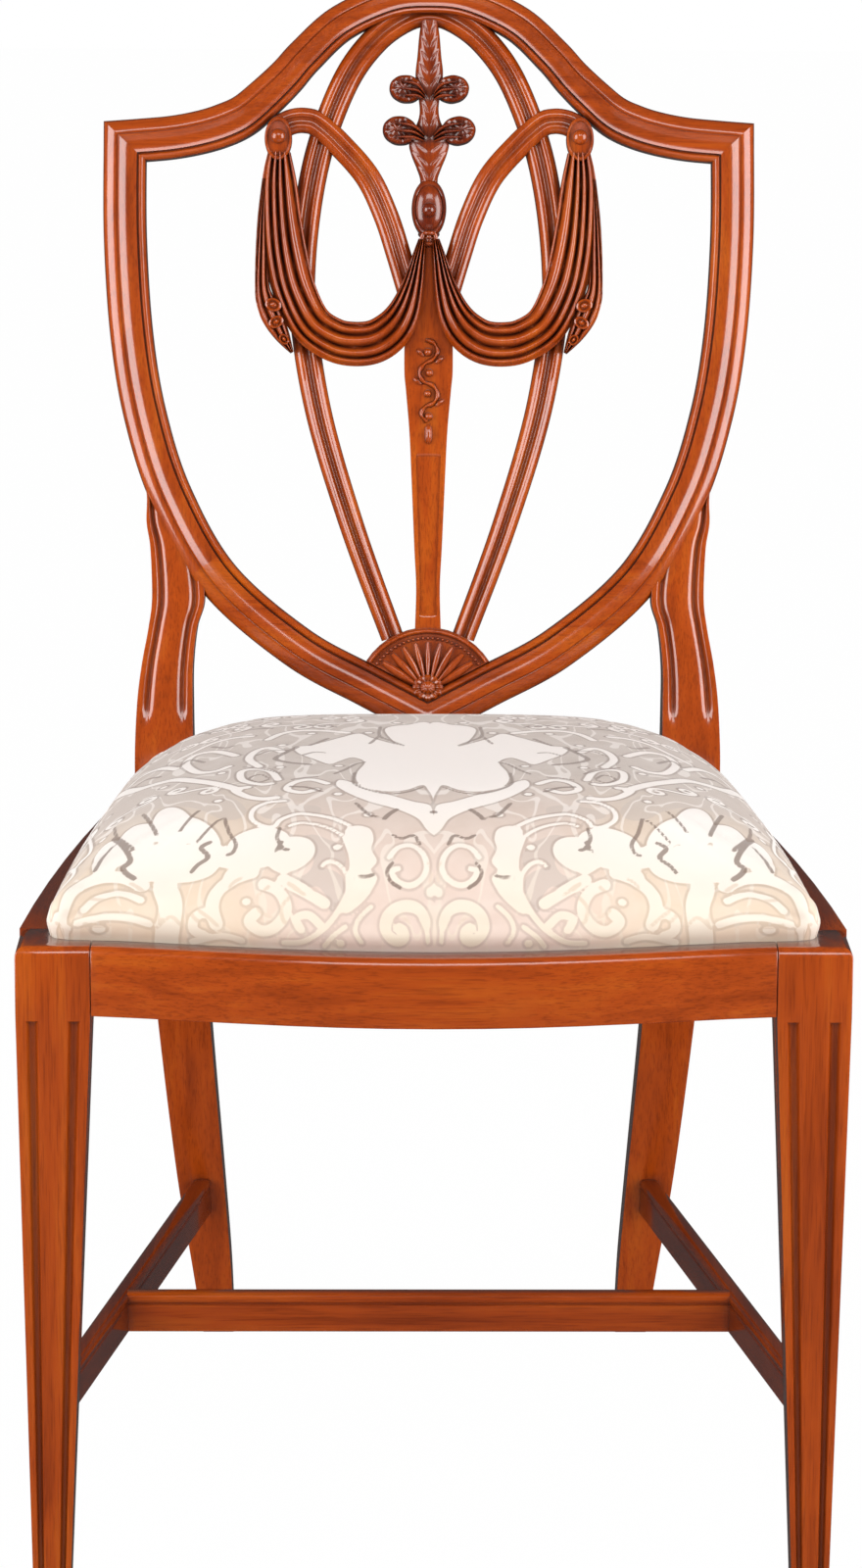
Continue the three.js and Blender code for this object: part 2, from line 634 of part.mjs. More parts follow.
function centreSplat(grow = 0) {
  const right = SPLAT_SHARES.map(([x, share]) => splatPlace(x, share));
  const outline = [...right, ...handed(right, -1).reverse()];
  const back = BAR_SETBACK + BAR_THICK;
  let body = solid(board(outline, BAR_SETBACK, back, grow));
  for (const [x, share] of LOBE_PLACE_SHARES) {
    for (const hand of [-1, 1]) {
      const place = splatPlace(hand * x, share);
      const front = LOBE_FRONT_SHARE * LOBE_RADIUS + grow;
      const lobe = new THREE.CylinderGeometry(LOBE_RADIUS + grow, front, BAR_THICK + 2 * grow, 12);
      lobe.scale(LOBE_LENGTH / 2 / LOBE_RADIUS, 1, 1);
      body = body.add(solid(lobe.translate(place.x, BAR_SETBACK + BAR_THICK / 2, place.y)));
    }
  }
  const boss = splatPlace(0, BOSS_SHARE);
  const button = new THREE.SphereGeometry(BOSS_WIDTH_SHARE * SPLAT_HALF, 10, 6);
  return body.add(solid(button.translate(boss.x, BAR_SETBACK, boss.y)));
}

const splatTongue = (end, grow = 0) => tongue(
  1, splatPlace(0, end === 'top' ? 1 : 0), flat(0, 1), SPLAT_HALF, BAR_SETBACK, BAR_THICK, grow);

// Lunette: an arc over the V of the lower rail.
const LUNETTE_STEPS = 14;

function lunette(grow = 0) {
  const radius = (LUNETTE_HALF ** 2 + LUNETTE_RISE ** 2) / (2 * LUNETTE_RISE);
  const reach = Math.asin(LUNETTE_HALF / radius);
  const outline = [flat(0, SHIELD_FOOT)];
  for (let i = 0; i <= LUNETTE_STEPS; i += 1) {
    const angle = mix(reach, -reach, i / LUNETTE_STEPS);
    outline.push(flat(radius * Math.sin(angle), LUNETTE_TOP - radius + radius * Math.cos(angle)));
  }
  return solid(board(outline, LUNETTE_SETBACK, BAR_SETBACK + BAR_THICK, grow));
}

// Seat rails. The front rail bows forward between the legs, and the side rails bow outwards.

const BOW_POWER = 1.2;
// How much of its half length the front rail's back is bowed over, and how deep as a share of the bow.
const RAIL_BACK_SHARE = 1 / 3;
const RAIL_BACK_BOW_SHARE = 0.5;
const FRONT_STEPS = 14;
const SIDE_STEPS = 7;
const frontEdge = (x) => (
  -FRONT_BOW * Math.max(0, Math.cos((x / LEG_INNER) * (Math.PI / 2))) ** BOW_POWER);

const sideShare = (y) => THREE.MathUtils.clamp((y - LEG_TOP) / (POST_FRONT - LEG_TOP), 0, 1);
const sideEdge = (y) => (
  mix(LEG_HALF, POST_HALF, sideShare(y)) + SIDE_BOW * (1 - (2 * sideShare(y) - 1) ** 2));
const rebateEdge = (y) => sideEdge(y) - mix(SIDE_LIP, SIDE_LIP_REAR, sideShare(y));

function frontRail(grow = 0) {
  const outline = [];
  for (let i = 0; i <= FRONT_STEPS; i += 1) {
    const x = mix(-LEG_INNER, LEG_INNER, i / FRONT_STEPS);
    outline.push(flat(x, frontEdge(x)));
  }
  const back = FRONT_RAIL_THICK;
  const bowed = back - FRONT_BOW * RAIL_BACK_BOW_SHARE;
  outline.push(flat(LEG_INNER, back), flat(LEG_INNER * RAIL_BACK_SHARE, bowed));
  outline.push(flat(-LEG_INNER * RAIL_BACK_SHARE, bowed), flat(-LEG_INNER, back));
  return solid(slab(outline, RAIL_BOTTOM, RAIL_TOP, grow));
}

function sideRail(hand, grow = 0) {
  const outer = [];
  for (let i = 0; i <= SIDE_STEPS; i += 1) {
    const y = mix(LEG_TOP, POST_FRONT + POST_DEPTH / 2, i / SIDE_STEPS);
    outer.push(flat(hand * sideEdge(y), y));
  }
  const inner = outer.map((p) => flat(p.x - hand * SIDE_RAIL_THICK, p.y)).reverse();
  return solid(slab([...outer, ...inner], RAIL_BOTTOM, RAIL_TOP, grow));
}

function rearRail(grow = 0) {
  const low = point(-POST_INNER - TENON_LENGTH, REAR_RAIL_FRONT, RAIL_BOTTOM);
  const high = point(POST_INNER + TENON_LENGTH, REAR_RAIL_FRONT + REAR_RAIL_THICK, RAIL_TOP);
  return solid(block(low, high, grow));
}

// Rail tenons, each a block that its leg or post is mortised for.
const REAR_TENON_SHARE = 0.7;

function tenonBlock(low, high, grow) {
  const bottom = TENON_MIDDLE - TENON_HEIGHT / 2;
  const top = TENON_MIDDLE + TENON_HEIGHT / 2;
  return solid(block(point(low.x, low.y, bottom), point(high.x, high.y, top), grow));
}

function frontTenon(hand, grow = 0) {
  const middle = FRONT_RAIL_THICK / 2;
  const [low, high] = [hand * (LEG_INNER - TENON_LENGTH), hand * (LEG_INNER + TENON_LENGTH)].sort((a, b) => a - b);
  return tenonBlock(flat(low, middle - TENON_THICK / 2), flat(high, middle + TENON_THICK / 2), grow);
}

function sideTenon(hand, end, grow = 0) {
  const y = end === 'front' ? LEG_TOP : POST_FRONT;
  const x = hand * (sideEdge(y) - SIDE_RAIL_THICK / 2);
  const low = flat(x - TENON_THICK / 2, y - TENON_LENGTH);
  return tenonBlock(low, flat(x + TENON_THICK / 2, y + TENON_LENGTH), grow);
}

function rearTenon(hand, grow = 0) {
  const middle = POST_FRONT + REAR_LIP - TENON_THICK / 2 - TENON_FACE;
  const [low, high] = [hand * (POST_INNER - TENON_LENGTH), hand * (POST_INNER + TENON_LENGTH * REAR_TENON_SHARE)]
    .sort((a, b) => a - b);
  return tenonBlock(flat(low, middle - TENON_THICK / 2), flat(high, middle + TENON_THICK / 2), grow);
}

// The seat's plan: bowed front, bowed sides, straight rear, rounded corners.

const seatMiddle = (FRONT_LIP - FRONT_BOW + POST_FRONT) / 2;
const seatHalfDepth = POST_FRONT - seatMiddle;
const seatHalfWidth = LEG_HALF - SIDE_LIP;
// How far each rounded corner's points lie in from its two edges, as shares of its round.
const FRONT_ROUND_SHARE = 0.3;
const REAR_ROUND_SHARES = [[0.06, 0.5], [0.36, 0.12], [1, 0]];

function seatPlan() {
  const right = [];
  const frontX = LEG_HALF - SIDE_LIP;
  for (let i = 0; i <= FRONT_STEPS / 2; i += 1) {
    const x = mix(0, frontX - FRONT_ROUND, i / (FRONT_STEPS / 2));
    right.push(flat(x, frontEdge(x) + FRONT_LIP));
  }
  const cut = FRONT_ROUND * FRONT_ROUND_SHARE;
  right.push(flat(frontX - cut, FRONT_LIP + cut));
  for (let i = 0; i <= SIDE_STEPS; i += 1) {
    const y = mix(FRONT_LIP + FRONT_ROUND, POST_FRONT - REAR_ROUND, i / SIDE_STEPS);
    right.push(flat(rebateEdge(y), y));
  }
  const rearX = rebateEdge(POST_FRONT);
  for (const [across, along] of REAR_ROUND_SHARES) {
    right.push(flat(rearX - REAR_ROUND * across, POST_FRONT - REAR_ROUND * along));
  }
  return [...right, ...handed(right.slice(1), -1).reverse()];
}

const plan = seatPlan();

// The plan drawn in by the same amount at the sides, front and back, and its corners rounded off by a share.
function drawnIn(inset, round = 0) {
  const across = seatHalfWidth - inset;
  const along = seatHalfDepth - inset;
  return plan.map((p) => {
    const x = p.x / seatHalfWidth;
    const y = (p.y - seatMiddle) / seatHalfDepth;
    const scale = mix(1, 1 / Math.hypot(x, y), round);
    return flat(x * scale * across, seatMiddle + y * scale * along);
  });
}

function seatPocket() {
  return solid(slab(plan, LEDGE, RAIL_TOP + OVERRUN));
}

// Stretchers, from the middle of one leg to the middle of the next.

function rearLegAt(height) {
  const [, out, wide, sweep, deep] = tableAt(REAR_LEG_SHARES, height / RAIL_TOP);
  const outer = mix(REAR_FOOT_HALF, POST_HALF, out);
  const front = POST_FRONT + sweep * REAR_FOOT_SWEEP;
  return { outer, width: mix(REAR_FOOT_WIDTH, POST_WIDTH, wide), front, depth: mix(REAR_FOOT_DEPTH, POST_DEPTH, deep) };
}

const frontLegAt = legBox(STRETCHER_MIDDLE / RAIL_BOTTOM);
const backLegAt = rearLegAt(STRETCHER_MIDDLE);
const STRETCHER_FRONT_SHARE = 0.4;
const STRETCHER_REAR_SHARE = 0.5;
const STUB_SECTION_SHARE = 0.6;
const CROSS_STUB_SHARE = 0.5;
const CROSS_STUB_REACH_SHARE = 0.3;
const stretcherEnds = (hand) => [
  point(hand * mix(frontLegAt.outer, frontLegAt.inner, STRETCHER_FRONT_SHARE), frontLegAt.back, STRETCHER_MIDDLE),
  point(hand * (backLegAt.outer - backLegAt.width * STRETCHER_REAR_SHARE), backLegAt.front, STRETCHER_MIDDLE),
];

function sideStretcher(hand, grow = 0) {
  const [from, to] = stretcherEnds(hand);
  const run = to.clone().sub(from).normalize();
  const start = from.clone().addScaledVector(run, -STUB_LENGTH);
  const end = to.clone().addScaledVector(run, STUB_LENGTH);
  return solid(bar(start, end, STRETCHER_THICK, STRETCHER_HEIGHT, grow));
}

function stretcherStub(hand, end, grow = 0) {
  const [from, to] = stretcherEnds(hand);
  const run = to.clone().sub(from).normalize();
  const middle = end === 'front' ? from : to;
  const start = middle.clone().addScaledVector(run, -STUB_LENGTH);
  const stop = middle.clone().addScaledVector(run, STUB_LENGTH);
  const thick = STRETCHER_THICK * STUB_SECTION_SHARE;
  return solid(bar(start, stop, thick, STRETCHER_HEIGHT * STUB_SECTION_SHARE, grow));
}

const crossShare = (CROSS_PLACE - frontLegAt.back) / (backLegAt.front - frontLegAt.back);
const crossHalf = mix(stretcherEnds(1)[0].x, stretcherEnds(1)[1].x, crossShare);

function crossStretcher(grow = 0) {
  const from = point(-crossHalf, CROSS_PLACE, STRETCHER_MIDDLE);
  return solid(bar(from, point(crossHalf, CROSS_PLACE, STRETCHER_MIDDLE), CROSS_THICK, STRETCHER_HEIGHT, grow));
}

function crossStub(hand, grow = 0) {
  const from = point(hand * (crossHalf - STRETCHER_THICK), CROSS_PLACE, STRETCHER_MIDDLE);
  const reach = crossHalf + STRETCHER_THICK * CROSS_STUB_REACH_SHARE;
  const to = point(hand * reach, CROSS_PLACE, STRETCHER_MIDDLE);
  const thick = CROSS_THICK * CROSS_STUB_SHARE;
  return solid(bar(from, to, thick, STRETCHER_HEIGHT * STUB_SECTION_SHARE, grow));
}

// Corner blocks and their screws. Each block fills a corner under the ledge, with a screw into each rail.

const BLOCK_TOP = LEDGE - BLOCK_DROP;
// The screws' places along the rail and along the side rail, as shares of the block's reach.
const SCREW_ACROSS_SHARE = 0.62;
const SCREW_ALONG_SHARE = 0.66;
const frontCorner = (hand) => flat(hand * LEG_INNER, LEG_TOP);
const rearCorner = (hand) => flat(hand * POST_INNER, REAR_RAIL_FRONT);

function frontRailBack(x) {
  const run = (Math.abs(x) / LEG_INNER - RAIL_BACK_SHARE) / (1 - RAIL_BACK_SHARE);
  return FRONT_RAIL_THICK - FRONT_BOW * RAIL_BACK_BOW_SHARE * (1 - THREE.MathUtils.clamp(run, 0, 1));
}

function cornerBlock(hand, end) {
  const corner = end === 'front' ? frontCorner(hand) : rearCorner(hand);
  const way = end === 'front' ? 1 : -1;
  const far = corner.y + way * BLOCK_REACH;
  const sideInner = sideEdge(far) - SIDE_RAIL_THICK;
  const inward = corner.x - hand * BLOCK_REACH;
  const railFace = end === 'front' ? frontRailBack(inward) : REAR_RAIL_FRONT;
  const middle = SIDE_RAIL_THICK / 2;
  const near = railFace - way * middle;
  const outline = [
    flat(inward, near), flat(hand * (sideEdge(near) - middle), near),
    flat(hand * (sideEdge(far) - middle), far), flat(hand * (sideInner - BLOCK_EDGE), far),
    flat(inward, railFace + way * BLOCK_EDGE),
  ];
  return solid(slab(outline, BLOCK_TOP - BLOCK_HEIGHT, BLOCK_TOP));
}

// A countersunk wood screw with its head at the origin, and with the hole that leads to it.
function screwShape(grow = 0, access = 0) {
  const shank = SCREW_RADIUS + grow;
  const head = SCREW_HEAD_RADIUS + grow;
  const neck = SCREW_RADIUS - SCREW_HEAD_RADIUS;
  const profile = [
    flat(0, -SCREW_LENGTH - grow), flat(shank, -SCREW_LENGTH + SCREW_TIP), flat(shank, neck), flat(head, 0),
  ];
  if (access) profile.push(flat(head, access));
  profile.push(flat(0, access));
  return new THREE.LatheGeometry(profile, 8);
}

// Each screw's head place and the way it points, by block.
function screwPlaces(hand, end) {
  const height = BLOCK_TOP - BLOCK_HEIGHT / 2;
  const way = end === 'front' ? 1 : -1;
  const corner = end === 'front' ? frontCorner(hand) : rearCorner(hand);
  const x = corner.x - hand * BLOCK_REACH * SCREW_ACROSS_SHARE;
  const railFace = end === 'front' ? frontRailBack(x) : REAR_RAIL_FRONT;
  const across = point(x, railFace + way * SCREW_SINK, height);
  const y = corner.y + way * BLOCK_REACH * SCREW_ALONG_SHARE;
  const along = point(hand * (sideEdge(y) - SIDE_RAIL_THICK - SCREW_SINK), y, height);
  return [
    { name: 'a', head: across, turn: new THREE.Euler(0, 0, way > 0 ? 0 : Math.PI) },
    { name: 'b', head: along, turn: new THREE.Euler(0, 0, (hand * Math.PI) / 2) },
  ];
}

// Drop-in seat: half lapped frame, interlaced webbing, base cloth, pad, cover and dust cloth.

const FRAME_BOTTOM = LEDGE + COVER_THICK + 2 * JOINT_GAP;
// How much of the front bar's width lies behind the rebate's corner, and where the straps are tacked on.
const FRONT_BAR_SHARE = 0.7;
const FRONT_TACK_SHARE = 0.3;
const TACK_SHARE = 0.5;
const FRAME_TOP = FRAME_BOTTOM + SEAT_FRAME_THICK;
const FRAME_INSET = SEAT_CLEAR + COVER_THICK + JOINT_GAP;
const WEB_LOW = FRAME_TOP + JOINT_GAP;
const WEB_HIGH = WEB_LOW + 2 * WEB_THICK + JOINT_GAP;
const CLOTH_LOW = WEB_HIGH + JOINT_GAP;
const PAD_LOW = CLOTH_LOW + CLOTH_THICK + JOINT_GAP;
const SEAT_TOP = RAIL_TOP + SIDE_WALL + CROWN_RISE;

function frameZone(hand, grow = 0) {
  const frontX = seatHalfWidth - FRAME_INSET - SEAT_FRAME_BAR;
  const rearX = rebateEdge(POST_FRONT) - FRAME_INSET - SEAT_FRAME_BAR;
  const far = LEG_HALF;
  const front = FRONT_LIP - FRONT_BOW;
  const outline = [
    flat(hand * frontX, front), flat(hand * far, front), flat(hand * far, POST_FRONT), flat(hand * rearX, POST_FRONT),
  ];
  return swell(outline, grow);
}

function frameBars() {
  const whole = solid(slab(drawnIn(FRAME_INSET), FRAME_BOTTOM, FRAME_TOP));
  const half = (FRAME_BOTTOM + FRAME_TOP) / 2;
  const frontLine = FRONT_LIP + SEAT_FRAME_BAR * FRONT_BAR_SHARE;
  const rearLine = POST_FRONT - SEAT_FRAME_BAR;
  const band = (low, high, bottom, top, grow) => solid(block(
    point(-LEG_HALF, low, bottom), point(LEG_HALF, high, top), grow));
  const ends = [
    ['front', FRONT_LIP - FRONT_BOW - OVERRUN, frontLine],
    ['rear', rearLine, POST_FRONT + OVERRUN],
  ];
  const bars = ends.map(([name, low, high]) => {
    let body = whole.intersect(band(low, high, FRAME_BOTTOM - OVERRUN, FRAME_TOP + OVERRUN, 0));
    for (const [, hand] of SIDES) {
      body = body.subtract(solid(slab(frameZone(hand, JOINT_GAP), half, FRAME_TOP + OVERRUN)));
    }
    return piece(`seat_frame_${name}`, body, beech);
  });
  for (const [name, hand] of SIDES) {
    let body = whole.intersect(solid(slab(frameZone(hand), FRAME_BOTTOM - OVERRUN, FRAME_TOP + OVERRUN)));
    for (const [, low, high] of ends) {
      body = body.subtract(band(low, high, FRAME_BOTTOM - OVERRUN, half, JOINT_GAP));
    }
    bars.push(piece(`seat_frame_${name}`, body, beech));
  }
  return bars;
}

// Webbing: straps at these shares of the half width and of the depth, over and under by turns.
const WEB_ACROSS_SHARES = [-0.42, 0, 0.42];
const WEB_ALONG_SHARES = [0.2, 0.47, 0.74];

function webbing() {
  const frontLine = FRONT_LIP + SEAT_FRAME_BAR * FRONT_TACK_SHARE;
  const rearLine = POST_FRONT - SEAT_FRAME_BAR * TACK_SHARE;
  const xs = WEB_ACROSS_SHARES.map((share) => share * seatHalfWidth);
  const ys = WEB_ALONG_SHARES.map((share) => mix(FRONT_LIP, POST_FRONT, share));
  const middle = (WEB_LOW + WEB_HIGH) / 2;
  const step = (WEB_THICK + JOINT_GAP) / 2;
  const flatRun = WEB_WIDTH / 2 + OVERRUN;
  const strap = (name, places, start, end, parity, place) => {
    const stops = [[start, -1]];
    places.forEach((at, i) => {
      const lift = (i + parity) % 2 ? 1 : -1;
      stops.push([at - flatRun, lift], [at + flatRun, lift]);
    });
    stops.push([end, -1]);
    const rings = stops.map(([at, lift]) => {
      const height = middle + lift * step;
      return [[-1, -1], [1, -1], [1, 1], [-1, 1]].map(([side, up]) => (
        place(at, side * WEB_WIDTH / 2, height + up * WEB_THICK / 2)));
    });
    return piece(name, solid(loft(rings)), jute);
  };
  const straps = xs.map((x, i) => strap(
    `webbing_lengthwise_${i + 1}`, ys, frontLine, rearLine, i, (at, side, height) => point(x + side, at, height)));
  ys.forEach((y, i) => {
    const end = rebateEdge(y) - SEAT_FRAME_BAR * TACK_SHARE;
    straps.push(strap(
      `webbing_crosswise_${i + 1}`, xs, -end, end, i + 1, (at, side, height) => point(at, y + side, height)));
  });
  return straps;
}

// Crown height above the side wall, at a given distance in from the edge.
const CROWN_POWER = 2.7;
const CROWN_ROUND_SHARE = 0.85;
const CROWN_ROUND_POWER = 0.7;
const EDGE_DROP_SHARE = 0.1;
const BULGE_PLACE_SHARE = 0.5;
const CROWN_INSET_SHARES = [0.07, 0.14, 0.24, 0.38, 0.56, 0.78, 1];
const crownHeight = (inset) => CROWN_RISE * (1 - (1 - Math.min(1, inset / CROWN_REACH)) ** CROWN_POWER);

// Rings of the cushion's skin from the edge up, at a depth under the cover's outside.
function skinRings(depth, low) {
  const ring = (inset, height, round) => drawnIn(inset + depth, round).map((p) => point(p.x, p.y, height));
  const rings = [
    ring(SEAT_CLEAR, low),
    ring(SEAT_CLEAR, RAIL_TOP),
    ring(SEAT_CLEAR - SEAT_BULGE, RAIL_TOP + SIDE_WALL * BULGE_PLACE_SHARE),
    ring(SEAT_CLEAR, RAIL_TOP + SIDE_WALL - depth / 2),
  ];
  for (const share of CROWN_INSET_SHARES) {
    const inset = share * CROWN_REACH;
    const rounded = crownHeight(inset) - (1 - share) * EDGE_ROUND * EDGE_DROP_SHARE;
    rings.push(ring(inset, RAIL_TOP + SIDE_WALL + rounded - depth, CROWN_ROUND_SHARE * share ** CROWN_ROUND_POWER));
  }
  return rings;
}

// The cover goes round the frame and is turned under it.
function cover() {
  const low = LEDGE + JOINT_GAP;
  const high = FRAME_BOTTOM - JOINT_GAP;
  const turned = (height) => drawnIn(SEAT_CLEAR + TURN_UNDER).map((p) => point(p.x, p.y, height));
  return shell([turned(low), ...skinRings(0, low)], [turned(high), ...skinRings(COVER_THICK, high)]);
}

function pad() {
  const rings = skinRings(COVER_THICK + JOINT_GAP, PAD_LOW).filter((r) => r[0].z >= PAD_LOW);
  const foot = drawnIn(SEAT_CLEAR + COVER_THICK + JOINT_GAP).map((p) => point(p.x, p.y, PAD_LOW));
  return loft([foot, ...rings.filter((r) => r[0].z > PAD_LOW)]);
}

// Assembly.

const chair = new THREE.Group();
const back = new THREE.Group();
back.applyMatrix4(BACK);
chair.add(back);

const sideRails = {};
for (const [side, hand] of SIDES) {
  let leg = frontLeg(hand).subtract(seatPocket());
  for (const cut of flutes(hand)) leg = leg.subtract(cut);
  leg = leg.subtract(frontTenon(hand, JOINT_GAP)).subtract(sideTenon(hand, 'front', JOINT_GAP));
  leg = leg.subtract(stretcherStub(hand, 'front', JOINT_GAP));
  chair.add(piece(`front_leg_${side}`, leg, mahogany));

  const shieldPart = solid(shieldSideBand(hand)).add(mitreTongue(hand)).subtract(lowerTongue(hand, JOINT_GAP));
  const lowerPlace = solid(lowerRail(JOINT_GAP)).add(lowerTongue(hand, JOINT_GAP)).transform(BACK.elements);
  let post = rearLeg(hand).add(shieldPart.transform(BACK.elements)).subtract(lowerPlace);
  post = post.subtract(sideTenon(hand, 'rear', JOINT_GAP)).subtract(rearTenon(hand, JOINT_GAP));
  post = post.subtract(stretcherStub(hand, 'rear', JOINT_GAP));
  chair.add(piece(`rear_post_${side}`, post, mahogany));

  let rail = sideRail(hand).subtract(frontLeg(hand, JOINT_GAP)).subtract(rearLeg(hand, JOINT_GAP));
  rail = rail.subtract(seatPocket()).add(sideTenon(hand, 'front')).add(sideTenon(hand, 'rear'));
  sideRails[hand] = rail;
}

let front = frontRail().subtract(seatPocket());
let rear = rearRail().subtract(seatPocket());
for (const [, hand] of SIDES) {
  front = front.subtract(frontLeg(hand, JOINT_GAP)).add(frontTenon(hand));
  rear = rear.subtract(rearLeg(hand, JOINT_GAP)).subtract(sideRail(hand, JOINT_GAP)).add(rearTenon(hand));
}

const screw = solid(screwShape()).getMesh();
for (const [side, hand] of SIDES) {
  for (const end of ['front', 'rear']) {
    let corner = cornerBlock(hand, end).subtract(sideRail(hand, JOINT_GAP));
    corner = corner.subtract(end === 'front' ? frontRail(JOINT_GAP) : rearRail(JOINT_GAP));
    corner = corner.subtract(end === 'front' ? frontLeg(hand, JOINT_GAP) : rearLeg(hand, JOINT_GAP));
    for (const { name, head, turn } of screwPlaces(hand, end)) {
      const place = new THREE.Matrix4().makeRotationFromEuler(turn).setPosition(head);
      const hole = solid(screwShape(JOINT_GAP, BLOCK_REACH), place);
      corner = corner.subtract(hole);
      if (name === 'b') sideRails[hand] = sideRails[hand].subtract(hole);
      else if (end === 'front') front = front.subtract(hole);
      else rear = rear.subtract(hole);
      const fixing = piece(`block_screw_${end}_${side}_${name}`, solid(screwShape()), steel);
      fixing.position.copy(head);
      fixing.rotation.copy(turn);
      chair.add(fixing);
    }
    chair.add(piece(`corner_block_${end}_${side}`, corner, beech));
  }
  chair.add(piece(`side_rail_${side}`, sideRails[hand], mahogany));
}
chair.add(piece('front_rail', front, mahogany));
chair.add(piece('rear_rail', rear, mahogany));

for (const [side, hand] of SIDES) {
  let stretcher = sideStretcher(hand).subtract(frontLeg(hand, JOINT_GAP)).subtract(rearLeg(hand, JOINT_GAP));
  stretcher = stretcher.add(stretcherStub(hand, 'front')).add(stretcherStub(hand, 'rear'));
  chair.add(piece(`side_stretcher_${side}`, stretcher.subtract(crossStub(hand, JOINT_GAP)), mahogany));
}
let cross = crossStretcher();
for (const [, hand] of SIDES) cross = cross.subtract(sideStretcher(hand, JOINT_GAP)).add(crossStub(hand));
chair.add(piece('cross_stretcher', cross, mahogany));

let crest = solid(crestBand()).add(archBand()).subtract(splatTongue('top', JOINT_GAP));
let lower = solid(lowerRail()).subtract(footRound());
let fan = lunette().subtract(solid(lowerRail(JOINT_GAP))).subtract(splatTongue('foot', JOINT_GAP));
let splat = centreSplat().subtract(solid(crestBand(JOINT_GAP))).subtract(archBand(JOINT_GAP));
splat = splat.subtract(lunette(JOINT_GAP)).add(splatTongue('top')).add(splatTongue('foot'));
for (const [side, hand] of SIDES) {
  crest = crest.subtract(mitreTongue(hand, JOINT_GAP)).subtract(barTongue(hand, 'top', JOINT_GAP));
  lower = lower.add(lowerTongue(hand));
  fan = fan.subtract(barTongue(hand, 'foot', JOINT_GAP));
  splat = splat.subtract(swag(hand, JOINT_GAP));
  let ring = solid(loop(hand)).subtract(swag(hand, JOINT_GAP)).subtract(centreSplat(JOINT_GAP));
  ring = ring.subtract(solid(crestBand(JOINT_GAP)));
  let upright = splatBar(hand).add(barTongue(hand, 'top')).subtract(lunette(JOINT_GAP));
  upright = upright.add(barTongue(hand, 'foot'));
  upright = upright.subtract(solid(loop(hand, JOINT_GAP))).subtract(swag(hand, JOINT_GAP));
  back.add(piece(`splat_bar_${side}`, upright, mahogany));
  back.add(piece(`loop_${side}`, ring, mahogany));
  const carving = swag(hand).subtract(solid(crestBand(JOINT_GAP)));
  back.add(piece(`swag_${side}`, carving, mahogany));
}
back.add(piece('crest_rail', crest, mahogany));
back.add(piece('shield_lower_rail', lower, mahogany));
back.add(piece('centre_splat', splat, mahogany));
back.add(piece('lunette', fan, mahogany));

for (const bar of frameBars()) chair.add(bar);
for (const strap of webbing()) chair.add(strap);
chair.add(piece('base_cloth', solid(slab(drawnIn(SEAT_FRAME_BAR / 2), CLOTH_LOW, CLOTH_LOW + CLOTH_THICK)), jute));
chair.add(piece('seat_pad', solid(pad()), padding));
chair.add(piece('seat_cover', solid(cover()), damask));
const dustInset = SEAT_CLEAR + TURN_UNDER + OVERRUN;
const dustTop = FRAME_BOTTOM - JOINT_GAP;
chair.add(piece('dust_cloth', solid(slab(drawnIn(dustInset), dustTop - CLOTH_THICK, dustTop)), jute));

// The origin is under the middle of the whole chair, on the floor.
const box = new THREE.Box3().setFromObject(chair);
chair.position.set(-(box.min.x + box.max.x) / 2, -(box.min.y + box.max.y) / 2, -box.min.z);
chair.updateMatrixWorld(true);

export default chair;
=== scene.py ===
"""A shield back dining chair in carved mahogany with a drop-in damask seat."""
import math

import bmesh
import bpy
import numpy as np
from mathutils import Euler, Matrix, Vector


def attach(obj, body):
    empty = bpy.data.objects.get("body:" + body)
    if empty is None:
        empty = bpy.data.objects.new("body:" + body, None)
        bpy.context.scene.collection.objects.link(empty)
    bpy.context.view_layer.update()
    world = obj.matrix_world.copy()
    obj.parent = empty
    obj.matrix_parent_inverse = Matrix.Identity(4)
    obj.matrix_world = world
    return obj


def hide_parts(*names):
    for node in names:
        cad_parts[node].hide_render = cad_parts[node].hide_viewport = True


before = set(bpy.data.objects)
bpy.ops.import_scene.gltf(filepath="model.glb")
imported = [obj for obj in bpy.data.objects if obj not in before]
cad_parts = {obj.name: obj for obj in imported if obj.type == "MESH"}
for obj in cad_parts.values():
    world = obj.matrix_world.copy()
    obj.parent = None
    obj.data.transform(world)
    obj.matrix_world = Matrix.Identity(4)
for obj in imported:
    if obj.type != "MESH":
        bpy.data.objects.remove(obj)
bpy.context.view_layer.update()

# The viewpoint: a long lens on the chair's middle, from a little above the seat. The camera stands where the
# photographer's did, tipped down by thirteen degrees and a touch out of level from side to side.
camera_place = (-0.0346, -3.1873, 1.2055)
camera_tip = 76.937
camera_roll = -0.25
camera_swing = -0.572
camera_lens = 112.5
camera_film = 36
camera_turn = tuple(math.radians(turn) for turn in (camera_tip, camera_roll, camera_swing))
bpy.ops.object.camera_add(location=camera_place, rotation=camera_turn)
camera = bpy.context.active_object
camera.data.lens = camera_lens
camera.data.sensor_width = camera_film
camera.data.clip_end = 40
scene = bpy.context.scene
scene.camera = camera
scene.view_settings.view_transform = "Standard"

# The studio: a white paper floor and white surroundings, two tall soft boxes that stand at either side of the
# chair, and one wide soft box overhead and in front. The floor shows white and keeps a soft shadow.
paper_size = 24
paper_white = (0.7, 0.7, 0.7, 1)
paper_glow_share = 0.99
surround_level = 0.42
mirrored_level = 0.07


def new_material(name):
    """A material, its node tree and its Principled BSDF."""
    made = bpy.data.materials.new(name)
    made.use_nodes = True
    return made, made.node_tree, made.node_tree.nodes["Principled BSDF"]


